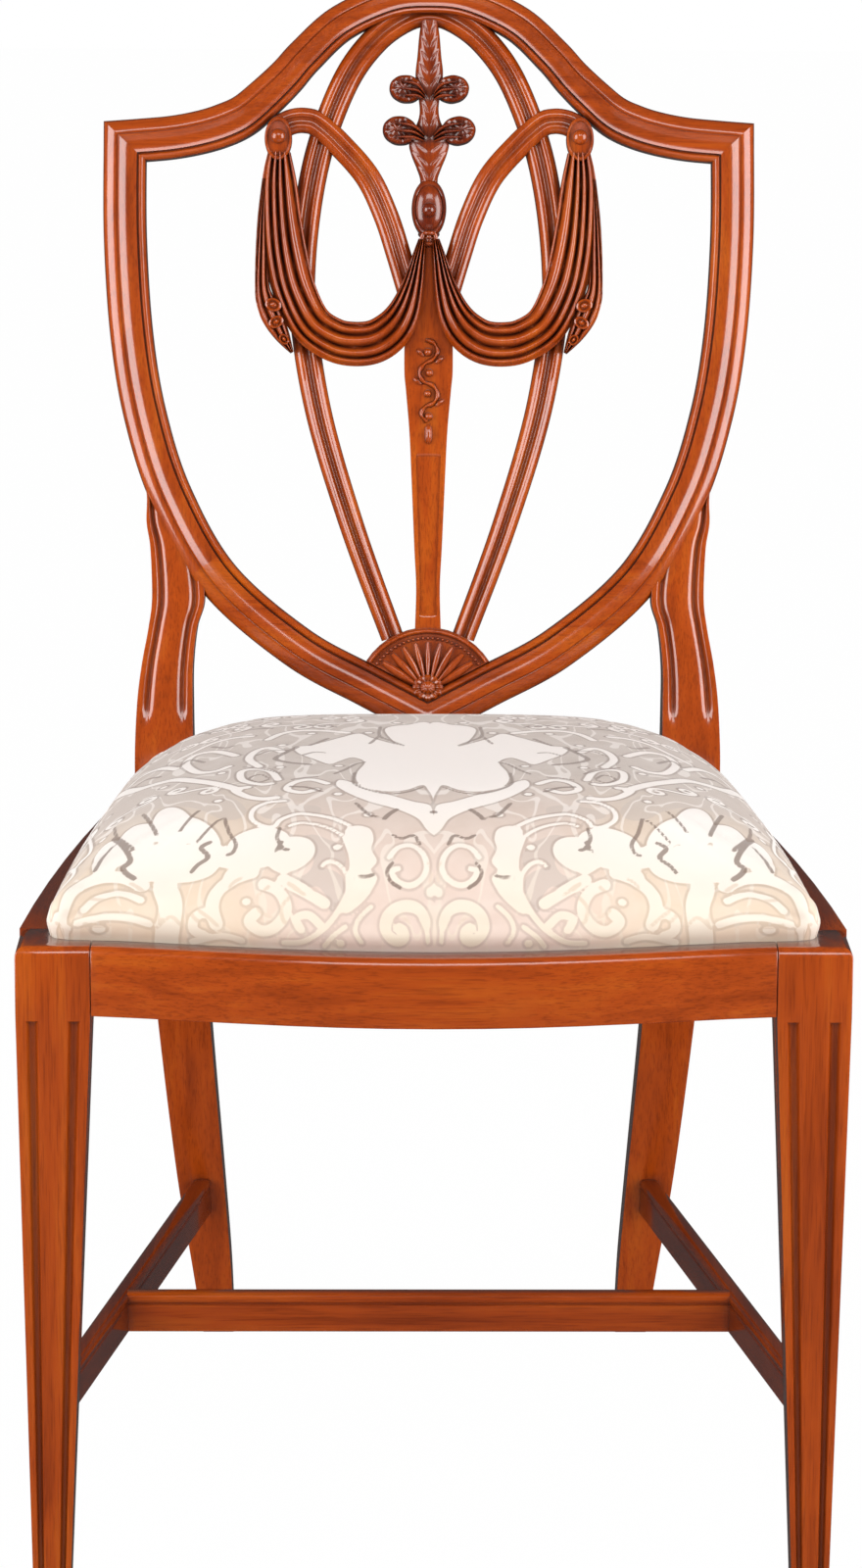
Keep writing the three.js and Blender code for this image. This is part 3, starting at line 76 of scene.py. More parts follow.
def wired(node, values):
    """Fills inputs of a node, given by name or number: a socket is linked and a plain value is set."""
    for key, value in values.items():
        if isinstance(value, bpy.types.NodeSocket):
            node.id_data.links.new(value, node.inputs[key])
        else:
            node.inputs[key].default_value = value
    return node


def new_node(tree, kind, values=None, **settings):
    """A node of a kind with its settings made and its inputs filled."""
    made = tree.nodes.new(kind)
    for key, value in settings.items():
        setattr(made, key, value)
    return wired(made, values or {})


bpy.ops.mesh.primitive_plane_add(size=paper_size, location=(0, 0, 0))
paper = bpy.context.active_object
paper.name = "paper_floor"
paper_finish, tree, shader = new_material("paper")
wired(shader, {"Base Color": paper_white, "Roughness": 1, "Specular IOR Level": 0})
glow = new_node(tree, "ShaderNodeEmission").outputs[0]
dim = new_node(tree, "ShaderNodeEmission", {"Strength": mirrored_level}).outputs[0]
rays = new_node(tree, "ShaderNodeLightPath").outputs
share = new_node(
    tree, "ShaderNodeMath", {0: rays["Is Camera Ray"], 1: paper_glow_share}, operation="MULTIPLY"
).outputs[0]
blend = new_node(tree, "ShaderNodeMixShader", {0: share, 1: shader.outputs[0], 2: glow})
in_polish = new_node(tree, "ShaderNodeMixShader", {0: rays["Is Glossy Ray"], 1: blend.outputs[0], 2: dim})
wired(tree.nodes["Material Output"], {"Surface": in_polish.outputs[0]})
paper.data.materials.append(paper_finish)

scene.world = bpy.data.worlds.new("studio")
scene.world.use_nodes = True
tree = scene.world.node_tree
rays = new_node(tree, "ShaderNodeLightPath").outputs
in_polish = new_node(tree, "ShaderNodeMapRange", {
    "Value": rays["Is Glossy Ray"], "To Min": surround_level, "To Max": mirrored_level,
})
seen_level = new_node(tree, "ShaderNodeMapRange", {
    "Value": rays["Is Camera Ray"], "To Min": in_polish.outputs["Result"], "To Max": 1,
})
wired(tree.nodes["Background"], {"Strength": seen_level.outputs["Result"], "Color": (1, 1, 1, 1)})

# Each soft box: its name, place, what it points at, its two sizes and its power.
soft_boxes = (
    ("soft_box_left", (-2.1, -0.85, 1.1), (0, 0, 0.7), (1.7, 2.3), 72),
    ("soft_box_right", (2.1, -0.85, 1.1), (0, 0, 0.7), (1.7, 2.3), 72),
    ("soft_box_front", (0.2, -2.4, 2.9), (0, 0, 0.5), (2.2, 1.0), 37),
)
for name, place, target, size, power in soft_boxes:
    aim = (Vector(target) - Vector(place)).to_track_quat("-Z", "Y").to_euler()
    bpy.ops.object.light_add(type="AREA", location=place, rotation=aim)
    lamp = bpy.context.active_object
    lamp.name = name
    lamp.data.shape = "RECTANGLE"
    lamp.data.size, lamp.data.size_y = size
    lamp.data.energy = power

# The front legs are square mahogany, tapered below the rails and fluted on their two show faces. Their
# arrises are eased, and they are French polished to a high gloss over a red-brown stain.
hands = {"left": -1, "right": 1}
leg_arris = 0.0012
facet_angle, arris_angle = 0.5, 32
solid_weld, level_gap = 0.00002, 0.0001
nosing_round, nosing_steps = 0.0065, 6
facing_share = 0.6
mahogany_dark = (0.12, 0.0125, 0.0015, 1)
mahogany_mid = (0.33, 0.048, 0.002, 1)
mahogany_light = (0.5, 0.112, 0.004, 1)
# The tone of old glaze in hollows, and of the painted shade in recesses and along the outlines.
glaze_and_shade_tone = (0.035, 0.006, 0.003, 1)
pore_tone = (0.55, 0.5, 0.5, 1)
polish_roughness = 0.2
polish_relief, polish_relief_deep = 0.05, 0.0004
polish_coat, coat_roughness = 0.65, 0.09
# How tightly the streaks, clouds and pores of the wood are set, and how they are drawn out along the grain.
streak_scale, cloud_scale, pore_scale = 85, 11, 900
streak_draw, cloud_draw, pore_draw = (1, 1, 0.06), (1, 1, 0.35), (1, 1, 0.03)
pore_share = 0.55
# Painted shade along the outlines: where it starts, where it is deepest, and how strong it is, as the
# wood turns away from the eye.
outline_shade_start, outline_shade_stop, outline_shade_share = 0.42, 0.92, 0.85


def eased(piece, arris, sharp):
    """Eases the active piece's edges that turn by more than sharp, and shades the rest smooth."""
    if arris:
        easing = piece.modifiers.new("easing", "BEVEL")
        easing.width = arris
        easing.segments = 3
        easing.limit_method = "ANGLE"
        easing.angle_limit = math.radians(sharp)
        easing.use_clamp_overlap = True
        bpy.ops.object.modifier_apply(modifier="easing")
    bpy.ops.object.shade_smooth_by_angle(angle=math.radians(sharp))


def eased_copy(node, name, arris, outward=()):
    """A copy of a solid with its facets joined and its edges eased.

    The top edges on the sides that face outward get a round nosing.
    """
    bpy.ops.object.select_all(action="DESELECT")
    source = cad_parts[node]
    source.select_set(True)
    bpy.context.view_layer.objects.active = source
    bpy.ops.object.duplicate()
    copy = bpy.context.active_object
    copy.parent = None
    for key in list(copy.keys()):
        if key.startswith("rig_"):
            del copy[key]
    copy.name = name
    copy.data.materials.clear()
    bpy.ops.object.mode_set(mode="EDIT")
    bpy.ops.mesh.select_all(action="SELECT")
    bpy.ops.mesh.remove_doubles(threshold=solid_weld)
    bpy.ops.mesh.dissolve_limited(angle_limit=math.radians(facet_angle))
    if outward:
        shape = bmesh.from_edit_mesh(copy.data)
        top = max(corner.co.z for corner in shape.verts) - level_gap
        ways = [Vector(way) for way in outward]
        rounded = [
            edge for edge in shape.edges
            if all(corner.co.z > top for corner in edge.verts)
            and any(face.normal.dot(way) > facing_share for way in ways for face in edge.link_faces)
        ]
        bmesh.ops.bevel(
            shape, geom=rounded, offset=nosing_round, segments=nosing_steps, profile=0.5, affect="EDGES",
            clamp_overlap=True,
        )
        bmesh.update_edit_mesh(copy.data)
    bpy.ops.object.mode_set(mode="OBJECT")
    eased(copy, arris, arris_angle)
    return copy


def new_group(name, inputs, outputs):
    """A node group with the named sockets, its given values and its output node."""
    group = bpy.data.node_groups.new(name, "ShaderNodeTree")
    for way, sockets in (("INPUT", inputs), ("OUTPUT", outputs)):
        for socket, kind in sockets:
            group.interface.new_socket(socket, in_out=way, socket_type=kind)
    return group, group.nodes.new("NodeGroupInput").outputs, group.nodes.new("NodeGroupOutput")


def noise_node(tree, vector, scale, detail, rough=0.5, distortion=0.0):
    """A noise texture on the given coordinates."""
    return new_node(tree, "ShaderNodeTexNoise", {
        "Vector": vector, "Scale": scale, "Detail": detail, "Roughness": rough, "Distortion": distortion,
    }).outputs["Fac"]


def stretched(tree, vector, scale):
    """Coordinates stretched by a Mapping node."""
    return new_node(tree, "ShaderNodeMapping", {"Vector": vector, "Scale": scale}).outputs["Vector"]


def math_node(tree, operation, *values, clamp=False):
    """A Math node whose inputs are sockets or numbers."""
    made = new_node(tree, "ShaderNodeMath", dict(enumerate(values)), operation=operation, use_clamp=clamp)
    return made.outputs[0]


def times(tree, first, second):
    """The product of two sockets or numbers."""
    return math_node(tree, "MULTIPLY", first, second)


def ramp_node(tree, factor, stops):
    """A colour ramp with the given places and colours."""
    made = new_node(tree, "ShaderNodeValToRGB", {"Fac": factor})
    ramp = made.color_ramp
    ramp.elements[0].position, ramp.elements[0].color = stops[0]
    ramp.elements[1].position, ramp.elements[1].color = stops[-1]
    for place, colour in stops[1:-1]:
        ramp.elements.new(place).color = colour
    return made.outputs["Color"]


def mixed_colour(tree, factor, first, second, blend_type="MIX"):
    """A Mix Color node whose inputs are sockets, numbers or colours."""
    values = {"Factor": factor, 6: first, 7: second}
    return new_node(tree, "ShaderNodeMix", values, data_type="RGBA", blend_type=blend_type).outputs[2]


def smooth_step(tree, value, start, stop, top=1):
    """Zero on one side of start and top on the far side of stop, with a soft change between them."""
    values = {"Value": value, "From Min": start, "From Max": stop, "To Max": top}
    return new_node(tree, "ShaderNodeMapRange", values, interpolation_type="SMOOTHSTEP").outputs["Result"]


def object_place(tree):
    """Coordinates of the object."""
    return new_node(tree, "ShaderNodeTexCoord").outputs["Object"]


def bumped(tree, shader, height, strength, distance):
    """Gives a finish the relief of a height."""
    bump = new_node(tree, "ShaderNodeBump", {"Height": height, "Strength": strength, "Distance": distance})
    wired(shader, {"Normal": bump.outputs["Normal"]})


# Grain runs along Z of the coordinates. Figure, pores and the darkening of recesses are in this group; that
# darkening is partly old glaze rubbed into them and partly painted shade from ambient occlusion.
figure, given, figure_out = new_group(
    "mahogany_figure",
    (("Coordinates", "NodeSocketVector"), ("Glaze and shade", "NodeSocketFloat"), ("Depth", "NodeSocketFloat"),
     ("Reach", "NodeSocketFloat")),
    (("Color", "NodeSocketColor"), ("Roughness", "NodeSocketFloat"), ("Height", "NodeSocketFloat")),
)
streaks = noise_node(figure, stretched(figure, given["Coordinates"], streak_draw), streak_scale, 6, 0.6, 0.4)
clouds = noise_node(figure, stretched(figure, given["Coordinates"], cloud_draw), cloud_scale, 3, 0.5, 0.8)
pores = noise_node(figure, stretched(figure, given["Coordinates"], pore_draw), pore_scale, 2, 0.7)
tone = math_node(figure, "MULTIPLY_ADD", streaks, 0.6, math_node(figure, "MULTIPLY_ADD", clouds, 0.4, 0.15))
tone = math_node(figure, "SUBTRACT", tone, times(figure, given["Depth"], 0.3))
wood = ramp_node(figure, tone, ((0.2, mahogany_dark), (0.5, mahogany_mid), (0.85, mahogany_light)))
pore_lines = ramp_node(figure, pores, ((0.36, pore_tone), (0.5, (1, 1, 1, 1))))
wood = mixed_colour(figure, pore_share, wood, pore_lines, "MULTIPLY")
# Recesses go towards the glaze tone where ambient occlusion finds them closed in: old glaze and painted
# shade.
open_share = new_node(figure, "ShaderNodeAmbientOcclusion", {"Distance": given["Reach"]}, samples=8)
glaze_and_recess_shade = math_node(figure, "SUBTRACT", 1, open_share.outputs["AO"], clamp=True)
glaze_and_recess_shade = math_node(figure, "MULTIPLY", glaze_and_recess_shade, given["Glaze and shade"], clamp=True)
rough = math_node(figure, "MULTIPLY_ADD", streaks, 0.1, polish_roughness - 0.05)
wired(figure_out, {
    "Color": mixed_colour(figure, glaze_and_recess_shade, wood, glaze_and_shade_tone),
    "Roughness": math_node(figure, "MULTIPLY_ADD", glaze_and_recess_shade, 0.3, rough),
    "Height": math_node(figure, "MULTIPLY_ADD", pores, 0.4, streaks),
})


def polished(name, grain, glaze_and_shade_strength, depth, coat=polish_coat, reach=0.007):
    """Polished mahogany, grain along X, Y or Z, with painted shade where it turns away from the eye."""
    made, tree, shader = new_material(name)
    quarter = math.radians(90)
    turn = {"X": (0, quarter, 0), "Y": (quarter, 0, 0), "Z": (0, 0, 0)}[grain]
    along = new_node(tree, "ShaderNodeMapping", {"Vector": object_place(tree), "Rotation": turn})
    wood = new_node(tree, "ShaderNodeGroup", {
        "Coordinates": along.outputs["Vector"], "Glaze and shade": glaze_and_shade_strength, "Depth": depth, "Reach": reach,
    }, node_tree=figure)
    # Painted shade: the colour goes towards the glaze tone where the surface turns away from the eye.
    facing = new_node(tree, "ShaderNodeLayerWeight").outputs["Facing"]
    outline_shade = smooth_step(tree, facing, outline_shade_start, outline_shade_stop, outline_shade_share)
    wired(shader, {
        "Base Color": mixed_colour(tree, outline_shade, wood.outputs["Color"], glaze_and_shade_tone),
        "Roughness": wood.outputs["Roughness"],
        "Coat Weight": coat,
        "Coat Roughness": coat_roughness,
        "Specular IOR Level": 0.5,
    })
    bumped(tree, shader, wood.outputs["Height"], polish_relief, polish_relief_deep)
    return made


def settle(piece, finish, *nodes, body="frame", slot="mahogany"):
    """Gives a piece its finish and body, and hides the nodes that it stands for. The slot is not used."""
    piece.data.materials.clear()
    piece.data.materials.append(finish)
    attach(piece, body)
    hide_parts(*nodes)


mahogany_upright = polished("mahogany_upright", "Z", 0.7, 0.5)
for side, hand in hands.items():
    leg = eased_copy(f"front_leg_{side}", f"fluted_leg_{side}", leg_arris, ((0, -1, 0), (hand, 0, 0)))
    settle(leg, mahogany_upright, f"front_leg_{side}")

# The rear posts: each is one sawn piece of mahogany, a swept leg below the seat, a stile above it with two
# grooves beside a raised middle, and a moulded shield side that meets the crest in a mitre.
rail_top = 424
post_front = 444
middle_shift = 267.64
back_plane = (post_front - middle_shift) / 1000
back_rake = math.radians(10)


def leaned(points):
    """Places in the back's plane (across, behind the front, up the rake, in mm) as points of the chair."""
    points = np.asarray(points, float) / 1000
    across, behind, up = points[..., 0], points[..., 1], points[..., 2]
    y = back_plane + behind * math.cos(back_rake) + up * math.sin(back_rake)
    z = rail_top / 1000 + up * math.cos(back_rake) - behind * math.sin(back_rake)
    return np.stack([across, y, z], -1)


def standing(plan_places, heights):
    """Places of the plan and their heights, in mm, as points of the chair."""
    x, y = plan_places[..., 0], plan_places[..., 1] - middle_shift
    return np.stack([x, y, np.broadcast_to(heights, x.shape)], -1) / 1000


def through(points, count, even=True):
    """A smooth line through the points, as that many places evenly spaced along it."""
    points = np.asarray(points, float)
    last = len(points) - 1
    fine = np.linspace(0, last, 60 * last + 1)
    at = np.minimum(fine.astype(int), last - 1)
    t = (fine - at)[:, None]
    a, b = points[np.maximum(at - 1, 0)], points[at]
    c, d = points[at + 1], points[np.minimum(at + 2, last)]
    line = 0.5 * (2 * b + (c - a) * t + (2 * a - 5 * b + 4 * c - d) * t**2 + (3 * b - a - 3 * c + d) * t**3)
    if not even:
        return line[np.round(np.linspace(0, len(line) - 1, count)).astype(int)]
    gone = np.concatenate([[0], np.cumsum(np.linalg.norm(np.diff(line[:, :2], axis=0), axis=1))])
    wanted = np.linspace(0, gone[-1], count)
    return np.stack([np.interp(wanted, gone, line[:, k]) for k in range(line.shape[1])], -1)


def gridded(points):
    """A grid of faces through rows of points."""
    bpy.ops.object.select_all(action="DESELECT")
    steps, count = points.shape[:2]
    bpy.ops.mesh.primitive_grid_add(x_subdivisions=count - 1, y_subdivisions=steps - 1, size=1)
    made = bpy.context.active_object
    made.data.vertices.foreach_set("co", points.ravel())
    return made


def rolled(rings):
    """Rings with their first point given again at their end."""
    return np.concatenate([rings, rings[:, :1]], 1)


def welded(gap, close_ends=False):
    """Joins the active piece's points within a gap, closes its ends if asked, and turns its faces out."""
    bpy.ops.object.mode_set(mode="EDIT")
    bpy.ops.mesh.select_all(action="SELECT")
    bpy.ops.mesh.remove_doubles(threshold=gap)
    if close_ends:
        bpy.ops.mesh.fill_holes(sides=0)
        bpy.ops.mesh.select_all(action="SELECT")
    bpy.ops.mesh.normals_make_consistent(inside=False)
    bpy.ops.object.mode_set(mode="OBJECT")


skin_weld = 0.00001


def skinned(name, rings, sharp=38, arris=0.0):
    """A closed piece from rings of points."""
    made = gridded(rolled(np.asarray(rings, float)))
    made.name = name
    welded(skin_weld, close_ends=True)
    eased(made, arris, sharp)
    return made


mitre_reach = 40


def crossed(a, b):
    """The cross product of vectors in the plane."""
    return a[..., 0] * b[..., 1] - a[..., 1] * b[..., 0]


def moulded_rings(line, section, before=None, after=None):
    """Rings of a section run along a line in the back, mitred at its ends where a next point is given."""
    line = np.asarray(line, float)
    ahead = np.vstack([line[1:], 2 * line[-1] - line[-2] if after is None else after])
    behind = np.vstack([2 * line[0] - line[1] if before is None else before, line[:-1]])
    arrive = (line - behind) / np.linalg.norm(line - behind, axis=1)[:, None]
    leave = (ahead - line) / np.linalg.norm(ahead - line, axis=1)[:, None]
    across = np.stack([arrive[:, 1] + leave[:, 1], -arrive[:, 0] - leave[:, 0]], -1)
    across *= 2 / (across**2).sum(1)[:, None]
    marks = np.array([section(n / (len(line) - 1)) for n in range(len(line))])
    spots = line[:, None] + marks[..., :1] * across[:, None]
    ends = ((after, line[-1], across[-1], arrive[-1]), (before, line[0], across[0], -leave[0]))
    for cut, corner, mitre, run in ends:
        if cut is not None:
            inward = np.sign(crossed(mitre, line[len(line) // 2] - corner))
            gap = crossed(mitre, spots - corner) * inward
            close = np.linalg.norm(line - corner, axis=1)[:, None] < mitre_reach
            slide = np.where(close & (gap < 0), gap / (crossed(mitre, run) * inward), 0)
            spots -= slide[..., None] * run
    return leaned(np.stack([spots[..., 0], marks[..., 1], spots[..., 1]], -1))


shield_half = 213.4
shield_foot = 47.5
shield_rise = 404
corner_height = shield_foot + shield_rise
mould_width = 30
mould_thick = 22
shield_shares = (
    (0, 0), (0.2, 0.055), (0.433, 0.1225), (0.69, 0.24), (0.848, 0.384),
    (0.934, 0.5245), (0.979, 0.6656), (1, 0.835), (1, 1),
)
shield_side = through([(x * shield_half, shield_foot + z * shield_rise) for x, z in shield_shares], 105)
shield_joint = 40
# The first place of the crest's moulding past the corner.
crest_start = (shield_half - 3, corner_height + 0.2)
# Across from the inner edge, and behind the front, as shares of the width and of the thickness: a bead, a
# quirk, a wide hollow up to a sharp ridge, a small quirk, and a round down to the outer edge.
mould_shares = np.array((
    (-0.5, 0.9), (-0.5, 0.33), (-0.488, 0.23), (-0.45, 0.14), (-0.41, 0.095), (-0.37, 0.1), (-0.335, 0.15),
    (-0.318, 0.24), (-0.298, 0.24), (-0.288, 0.16), (-0.25, 0.17), (-0.19, 0.185), (-0.12, 0.18),
    (-0.03, 0.14), (0.05, 0.075), (0.1, 0.02), (0.115, 0.004), (0.13, 0.004), (0.145, 0.04), (0.16, 0.075),
    (0.185, 0.06), (0.24, 0.075), (0.3, 0.105), (0.36, 0.15), (0.415, 0.205), (0.46, 0.275), (0.488, 0.36),
    (0.5, 0.45), (0.5, 0.92), (0.485, 0.97), (0.44, 1), (-0.44, 1), (-0.485, 0.97),
))


def mould_section(width=mould_width):
    """The shield's moulding at a given width."""
    return mould_shares * (width, mould_thick)


def mirrored(points, hand):
    """The same points on the left (-1) or right (1) side."""
    return np.asarray(points) * ((hand,) + (1,) * (np.shape(points)[-1] - 1))


# The foot, as shares: height, outer edge, width, sweep and depth. Then the post above the rail: height, outer
# edge, inner edge, front and back.
foot_shares = (
    (0, 0, 0, 1, 0), (0.13, 0.17, 0.3, 0.8, 0.3), (0.3, 0.4, 0.58, 0.6, 0.55),
    (0.55, 0.65, 0.76, 0.36, 0.8), (0.8, 0.855, 0.91, 0.13, 0.95), (0.93, 0.96, 0.97, 0.02, 1),
)
post_shares = (
    (0.1, 0, 0, 0, 1.66), (0.42, 0.12, -0.1, 0.05, 1.5), (0.64, 0.4, -0.08, 0.09, 1.36),
    (0.84, 0.8, 0.3, 0.14, 1.2), (1, 1, 1, 0.18, 1.08),
)
post_head_shares = (
    (1.26, 1.006, 0, 0.2, 1), (1.4, 1.02, 0, 0.24, 1), (1.58, 1, 1, 0.32, 0.97), (1.8, 1, 1, 0.34, 0.94),
)
foot_half, foot_width, foot_depth, foot_sweep = 162.5, 22.5, 27, 51
post_half, post_width, post_depth = 206.4, 41.5, 38
waist_half, waist_width, waist_rise = 194.4, 37, 132
head_lap_share = 0.47
# Across the stile's front from its outer edge, and how deep: a margin, a groove, a raised middle, a groove.
stile_shares = (
    (0, 0), (0.1, 0), (0.13, 0.35), (0.17, 1), (0.21, 1), (0.25, 0.3), (0.32, 0.02), (0.5, -0.12),
    (0.68, 0.02), (0.75, 0.3), (0.79, 1), (0.83, 1), (0.87, 0.35), (0.9, 0), (1, 0),
)
groove_deep, groove_foot, groove_start = 3.2, 45, 10


def shield_at(height, offset=0.0):
    """The shield's line at a given height, moved outwards."""
    n = int(np.argmax(shield_side[:, 1] >= height))
    low, high = shield_side[max(0, n - 1)], shield_side[max(1, n)]
    run = (high - low) / np.linalg.norm(high - low)
    return low[0] + (high[0] - low[0]) * (height - low[1]) / (high[1] - low[1]) + offset / run[1]


def blend_value(low, high, share):
    """A value between two others."""
    return low + (high - low) * share


# Each level: height, outer edge, inner edge, front and back in mm, and whether it lies in the raked back.
levels = []
for up, out, wide, sweep, deep in foot_shares:
    outer = blend_value(foot_half, post_half, out)
    inner = outer - blend_value(foot_width, post_width, wide)
    front = post_front + sweep * foot_sweep
    levels.append((up * rail_top, outer, inner, front, front + blend_value(foot_depth, post_depth, deep), 0))
for rise, out, into, front, back in post_shares:
    outer = blend_value(post_half, waist_half, out)
    inner = blend_value(post_half - post_width, waist_half - waist_width, into)
    levels.append((rise * waist_rise, outer, inner, front * mould_thick, back * mould_thick, 1))
for rise, wide, into, front, back in post_head_shares:
    height = rise * waist_rise
    outer = blend_value(wide * waist_half, shield_at(height, head_lap_share * mould_width), into)
    levels.append((height, outer, shield_at(height), front * mould_thick, back * mould_thick, 1))


def post_rings(hand):
    """Rings of the whole post, from the foot to where it has run into the shield."""
    rows = []
    for height, outer, inner, front, back, raked in levels:
        outline = np.array([(outer, front), (outer, back), (inner, back), (inner, front)])
        if raked:
            placed = leaned(np.column_stack([outline, np.full(4, height)]))
        else:
            placed = standing(outline, height)
        rows.append(np.append(placed.ravel(), height if raked else -1))
    rings = []
    for row in through(rows, 120, even=False):
        outer_front, outer_back, inner_back, inner_front = row[:12].reshape(4, 3)
        depth = (outer_back - outer_front) / np.linalg.norm(outer_back - outer_front)
        groove = min(1, max(0, (row[12] - groove_foot) / groove_start)) ** 0.5 * groove_deep / 1000
        marks = [outer_front + (inner_front - outer_front) * across + depth * sink * groove
                 for across, sink in stile_shares]
        rings.append(mirrored(np.array(marks + [inner_back, outer_back]), hand))
    return rings


for side, hand in hands.items():
    post = skinned(f"rear_leg_{side}", post_rings(hand), sharp=40, arris=0.0008)
    rings = moulded_rings(
        mirrored(shield_side[shield_joint:], hand), lambda share: mould_section() * (hand, 1),
        mirrored(shield_side[shield_joint - 1], hand), mirrored(crest_start, hand),
    )
    shield = skinned(f"shield_side_{side}", rings)
    settle(post, mahogany_upright, f"rear_post_{side}")
    settle(shield, mahogany_upright, f"rear_post_{side}")

# The lower rail of the shield: the same moulding carried round the V, tenoned into the posts' shield sides.
mahogany_across = polished("mahogany_across", "X", 0.7, 0.5)
half_run = shield_side[: shield_joint + 1]
run = np.vstack([mirrored(half_run[:0:-1], -1), half_run])
beyond = shield_side[shield_joint + 1]
rings = moulded_rings(run, lambda share: mould_section(), mirrored(beyond, -1), beyond)
settle(skinned("shield_foot_moulding", rings), mahogany_across, "shield_lower_rail")

# The crest: the moulding again, sawn to a serpentine from a deep board and mitred to the posts' corners.
crest_rise = 101.5
crest_shares = (
    (0, 1), (0.131, 0.97), (0.29, 0.818), (0.406, 0.597), (0.469, 0.448), (0.5365, 0.31),
    (0.607, 0.184), (0.68, 0.111), (0.757, 0.063), (0.848, 0.028), (0.951, 0.008), (1, 0),
)
crest_width_shares = ((0, 0.8), (0.25, 0.84), (0.45, 0.88), (0.7, 1), (1, 1))
crest_half = [(x * shield_half, corner_height + z * crest_rise) for x, z in crest_shares]
crest_run = through([(-x, z) for x, z in reversed(crest_half)] + crest_half[1:], 161)


def crest_section(share):
    """The moulding narrows towards the crest's middle."""
    width = np.interp(abs(2 * share - 1), *zip(*crest_width_shares))
    return mould_section(mould_width * width) * (-1, 1)


rings = moulded_rings(crest_run, crest_section, mirrored(shield_side[-2], -1), shield_side[-2])
settle(skinned("crest_moulding", rings), mahogany_across, "crest_rail")

# The two bars of the splat and the arch that joins them under the crest: two reeds with a hollow between,
# tenoned into the lunette and running into the crest.
bar_half, bar_foot, bar_rise = 89, 104, 438.5
bar_width, bar_foot_width, bar_thick, bar_setback = 19, 16, 14, 5.5
arch_shares = (
    (0.281, 0), (0.5955, 0.174), (0.8596, 0.3524), (0.9888, 0.5057), (1, 0.597),
    (0.9416, 0.707), (0.8337, 0.801), (0.645, 0.895), (0.427, 0.955), (0.2, 0.989), (0, 1),
)
arch_half = [(x * bar_half, bar_foot + z * bar_rise) for x, z in arch_shares]
arch_run = through(arch_half + [(-x, z) for x, z in reversed(arch_half[:-1])], 241)
arch_joint = 100
reed_half_shares = (
    (-0.42, 1), (-0.5, 0.88), (-0.5, 0.42), (-0.47, 0.29), (-0.42, 0.18), (-0.36, 0.09), (-0.3, 0.03),
    (-0.23, 0), (-0.17, 0.03), (-0.135, 0.1), (-0.11, 0.2), (-0.06, 0.25),
)
reed_far_shares = tuple((-x, deep) for x, deep in reversed(reed_half_shares))
reed_shares = np.array(reed_half_shares + ((0, 0.27),) + reed_far_shares)


def reeded(width, setback, thick):
    """The reeded section at a given width, set back from the shield's front."""
    return reed_shares * (width, thick) + (0, setback)


def bar_reeds(share=1.0):
    """The bar's section, narrower near its foot."""
    return reeded(blend_value(bar_foot_width, bar_width, min(1, 2 * share)), bar_setback, bar_thick)


for side, hand in hands.items():
    run, beyond = mirrored(arch_run[: arch_joint + 1], hand), mirrored(arch_run[arch_joint + 1], hand)
    bar = skinned(f"reeded_bar_{side}", moulded_rings(run, bar_reeds, None, beyond))
    settle(bar, mahogany_upright, f"splat_bar_{side}")
run = arch_run[arch_joint:-arch_joint]
rings = moulded_rings(run, lambda share: bar_reeds(), arch_run[arch_joint - 1], arch_run[-arch_joint])
settle(skinned("reeded_arch", rings), mahogany_across, "crest_rail")

# The loops: a lighter reeded moulding from each rosette down to the knot of the drapery.
loop_half, loop_foot, loop_rise, loop_width, loop_thick, loop_setback = 99, 345, 117, 17.5, 10, 3
loop_shares = (
    (0.13, 0), (0.212, 0.231), (0.305, 0.47), (0.436, 0.701), (0.633, 0.893),
    (0.79, 1.012), (0.88, 1.037), (0.97, 1.03), (1.05, 1.0),
)
for side, hand in hands.items():
    run = through([(hand * x * loop_half, loop_foot + z * loop_rise) for x, z in loop_shares], 90)
    rings = moulded_rings(run, lambda share: reeded(loop_width, loop_setback, loop_thick))
    settle(skinned(f"reeded_loop_{side}", rings), mahogany_upright, f"loop_{side}")

# The swags: carved drapery that hangs from each rosette, falls in deep folds and is drawn up to the
# knot. It is carved from the solid, and its creases are darkened by old polish and by painted shade.
swag_half, swag_top, swag_drop, swag_width = 105, 436, 126, 32
swag_front, swag_back = -5, 8
swag_shares = (
    (1, 0.06, 0.5), (1, -0.1, 0.76), (0.985, -0.31, 0.88), (0.955, -0.51, 0.95), (0.9, -0.7, 0.95),
    (0.79, -0.885, 0.93), (0.64, -0.975, 0.95), (0.5, -1, 0.97), (0.36, -0.985, 0.95),
    (0.245, -0.92, 0.88), (0.165, -0.82, 0.72), (0.11, -0.68, 0.5), (0.07, -0.52, 0.3), (0.045, -0.42, 0.17),
)
fold_count = 4.5
fold_deep_share = 0.5
mahogany_carved = polished("mahogany_carved", "Z", 0.85, 0.5, coat=0.45)


def tapered_rings(line, widths, section):
    """Rings of a section along a line in the back, its width taken from the table of widths."""
    count = len(line) - 1
    return moulded_rings(line, lambda share: section(share) * (widths[int(round(share * count))], 1))


def carved(name, line, widths, section):
    """A carved piece along a line in the back."""
    return skinned(name, tapered_rings(line, widths, section), sharp=60)


def drape(name, table, count, section, hand):
    """A fall of folded cloth through a table of places and widths."""
    run = through(table, count)
    return carved(name, run[:, :2], run[:, 2], lambda share: section(share) * (hand, 1))


def folded(folds, front, back, deep, drift=0.0, samples=61):
    """A section of rounded folds with sharp creases between them, as a function of the place along it."""
    across = np.linspace(-0.5, 0.5, samples)

    def section(share):
        warp = across + 0.04 * np.sin(2 * np.pi * across + 5 * share)
        crest = np.abs(np.sin(np.pi * (folds * (warp + 0.5) + drift * share))) ** 0.75
        shoulder = 1 - np.abs(2 * across) ** 6
        sink = front + (back - front) * deep * (1 - crest * shoulder)
        rear = ((0.5, back - 1.5), (0.42, back), (-0.42, back), (-0.5, back - 1.5))
        return np.vstack([np.stack([across, sink], -1), rear])

    return section


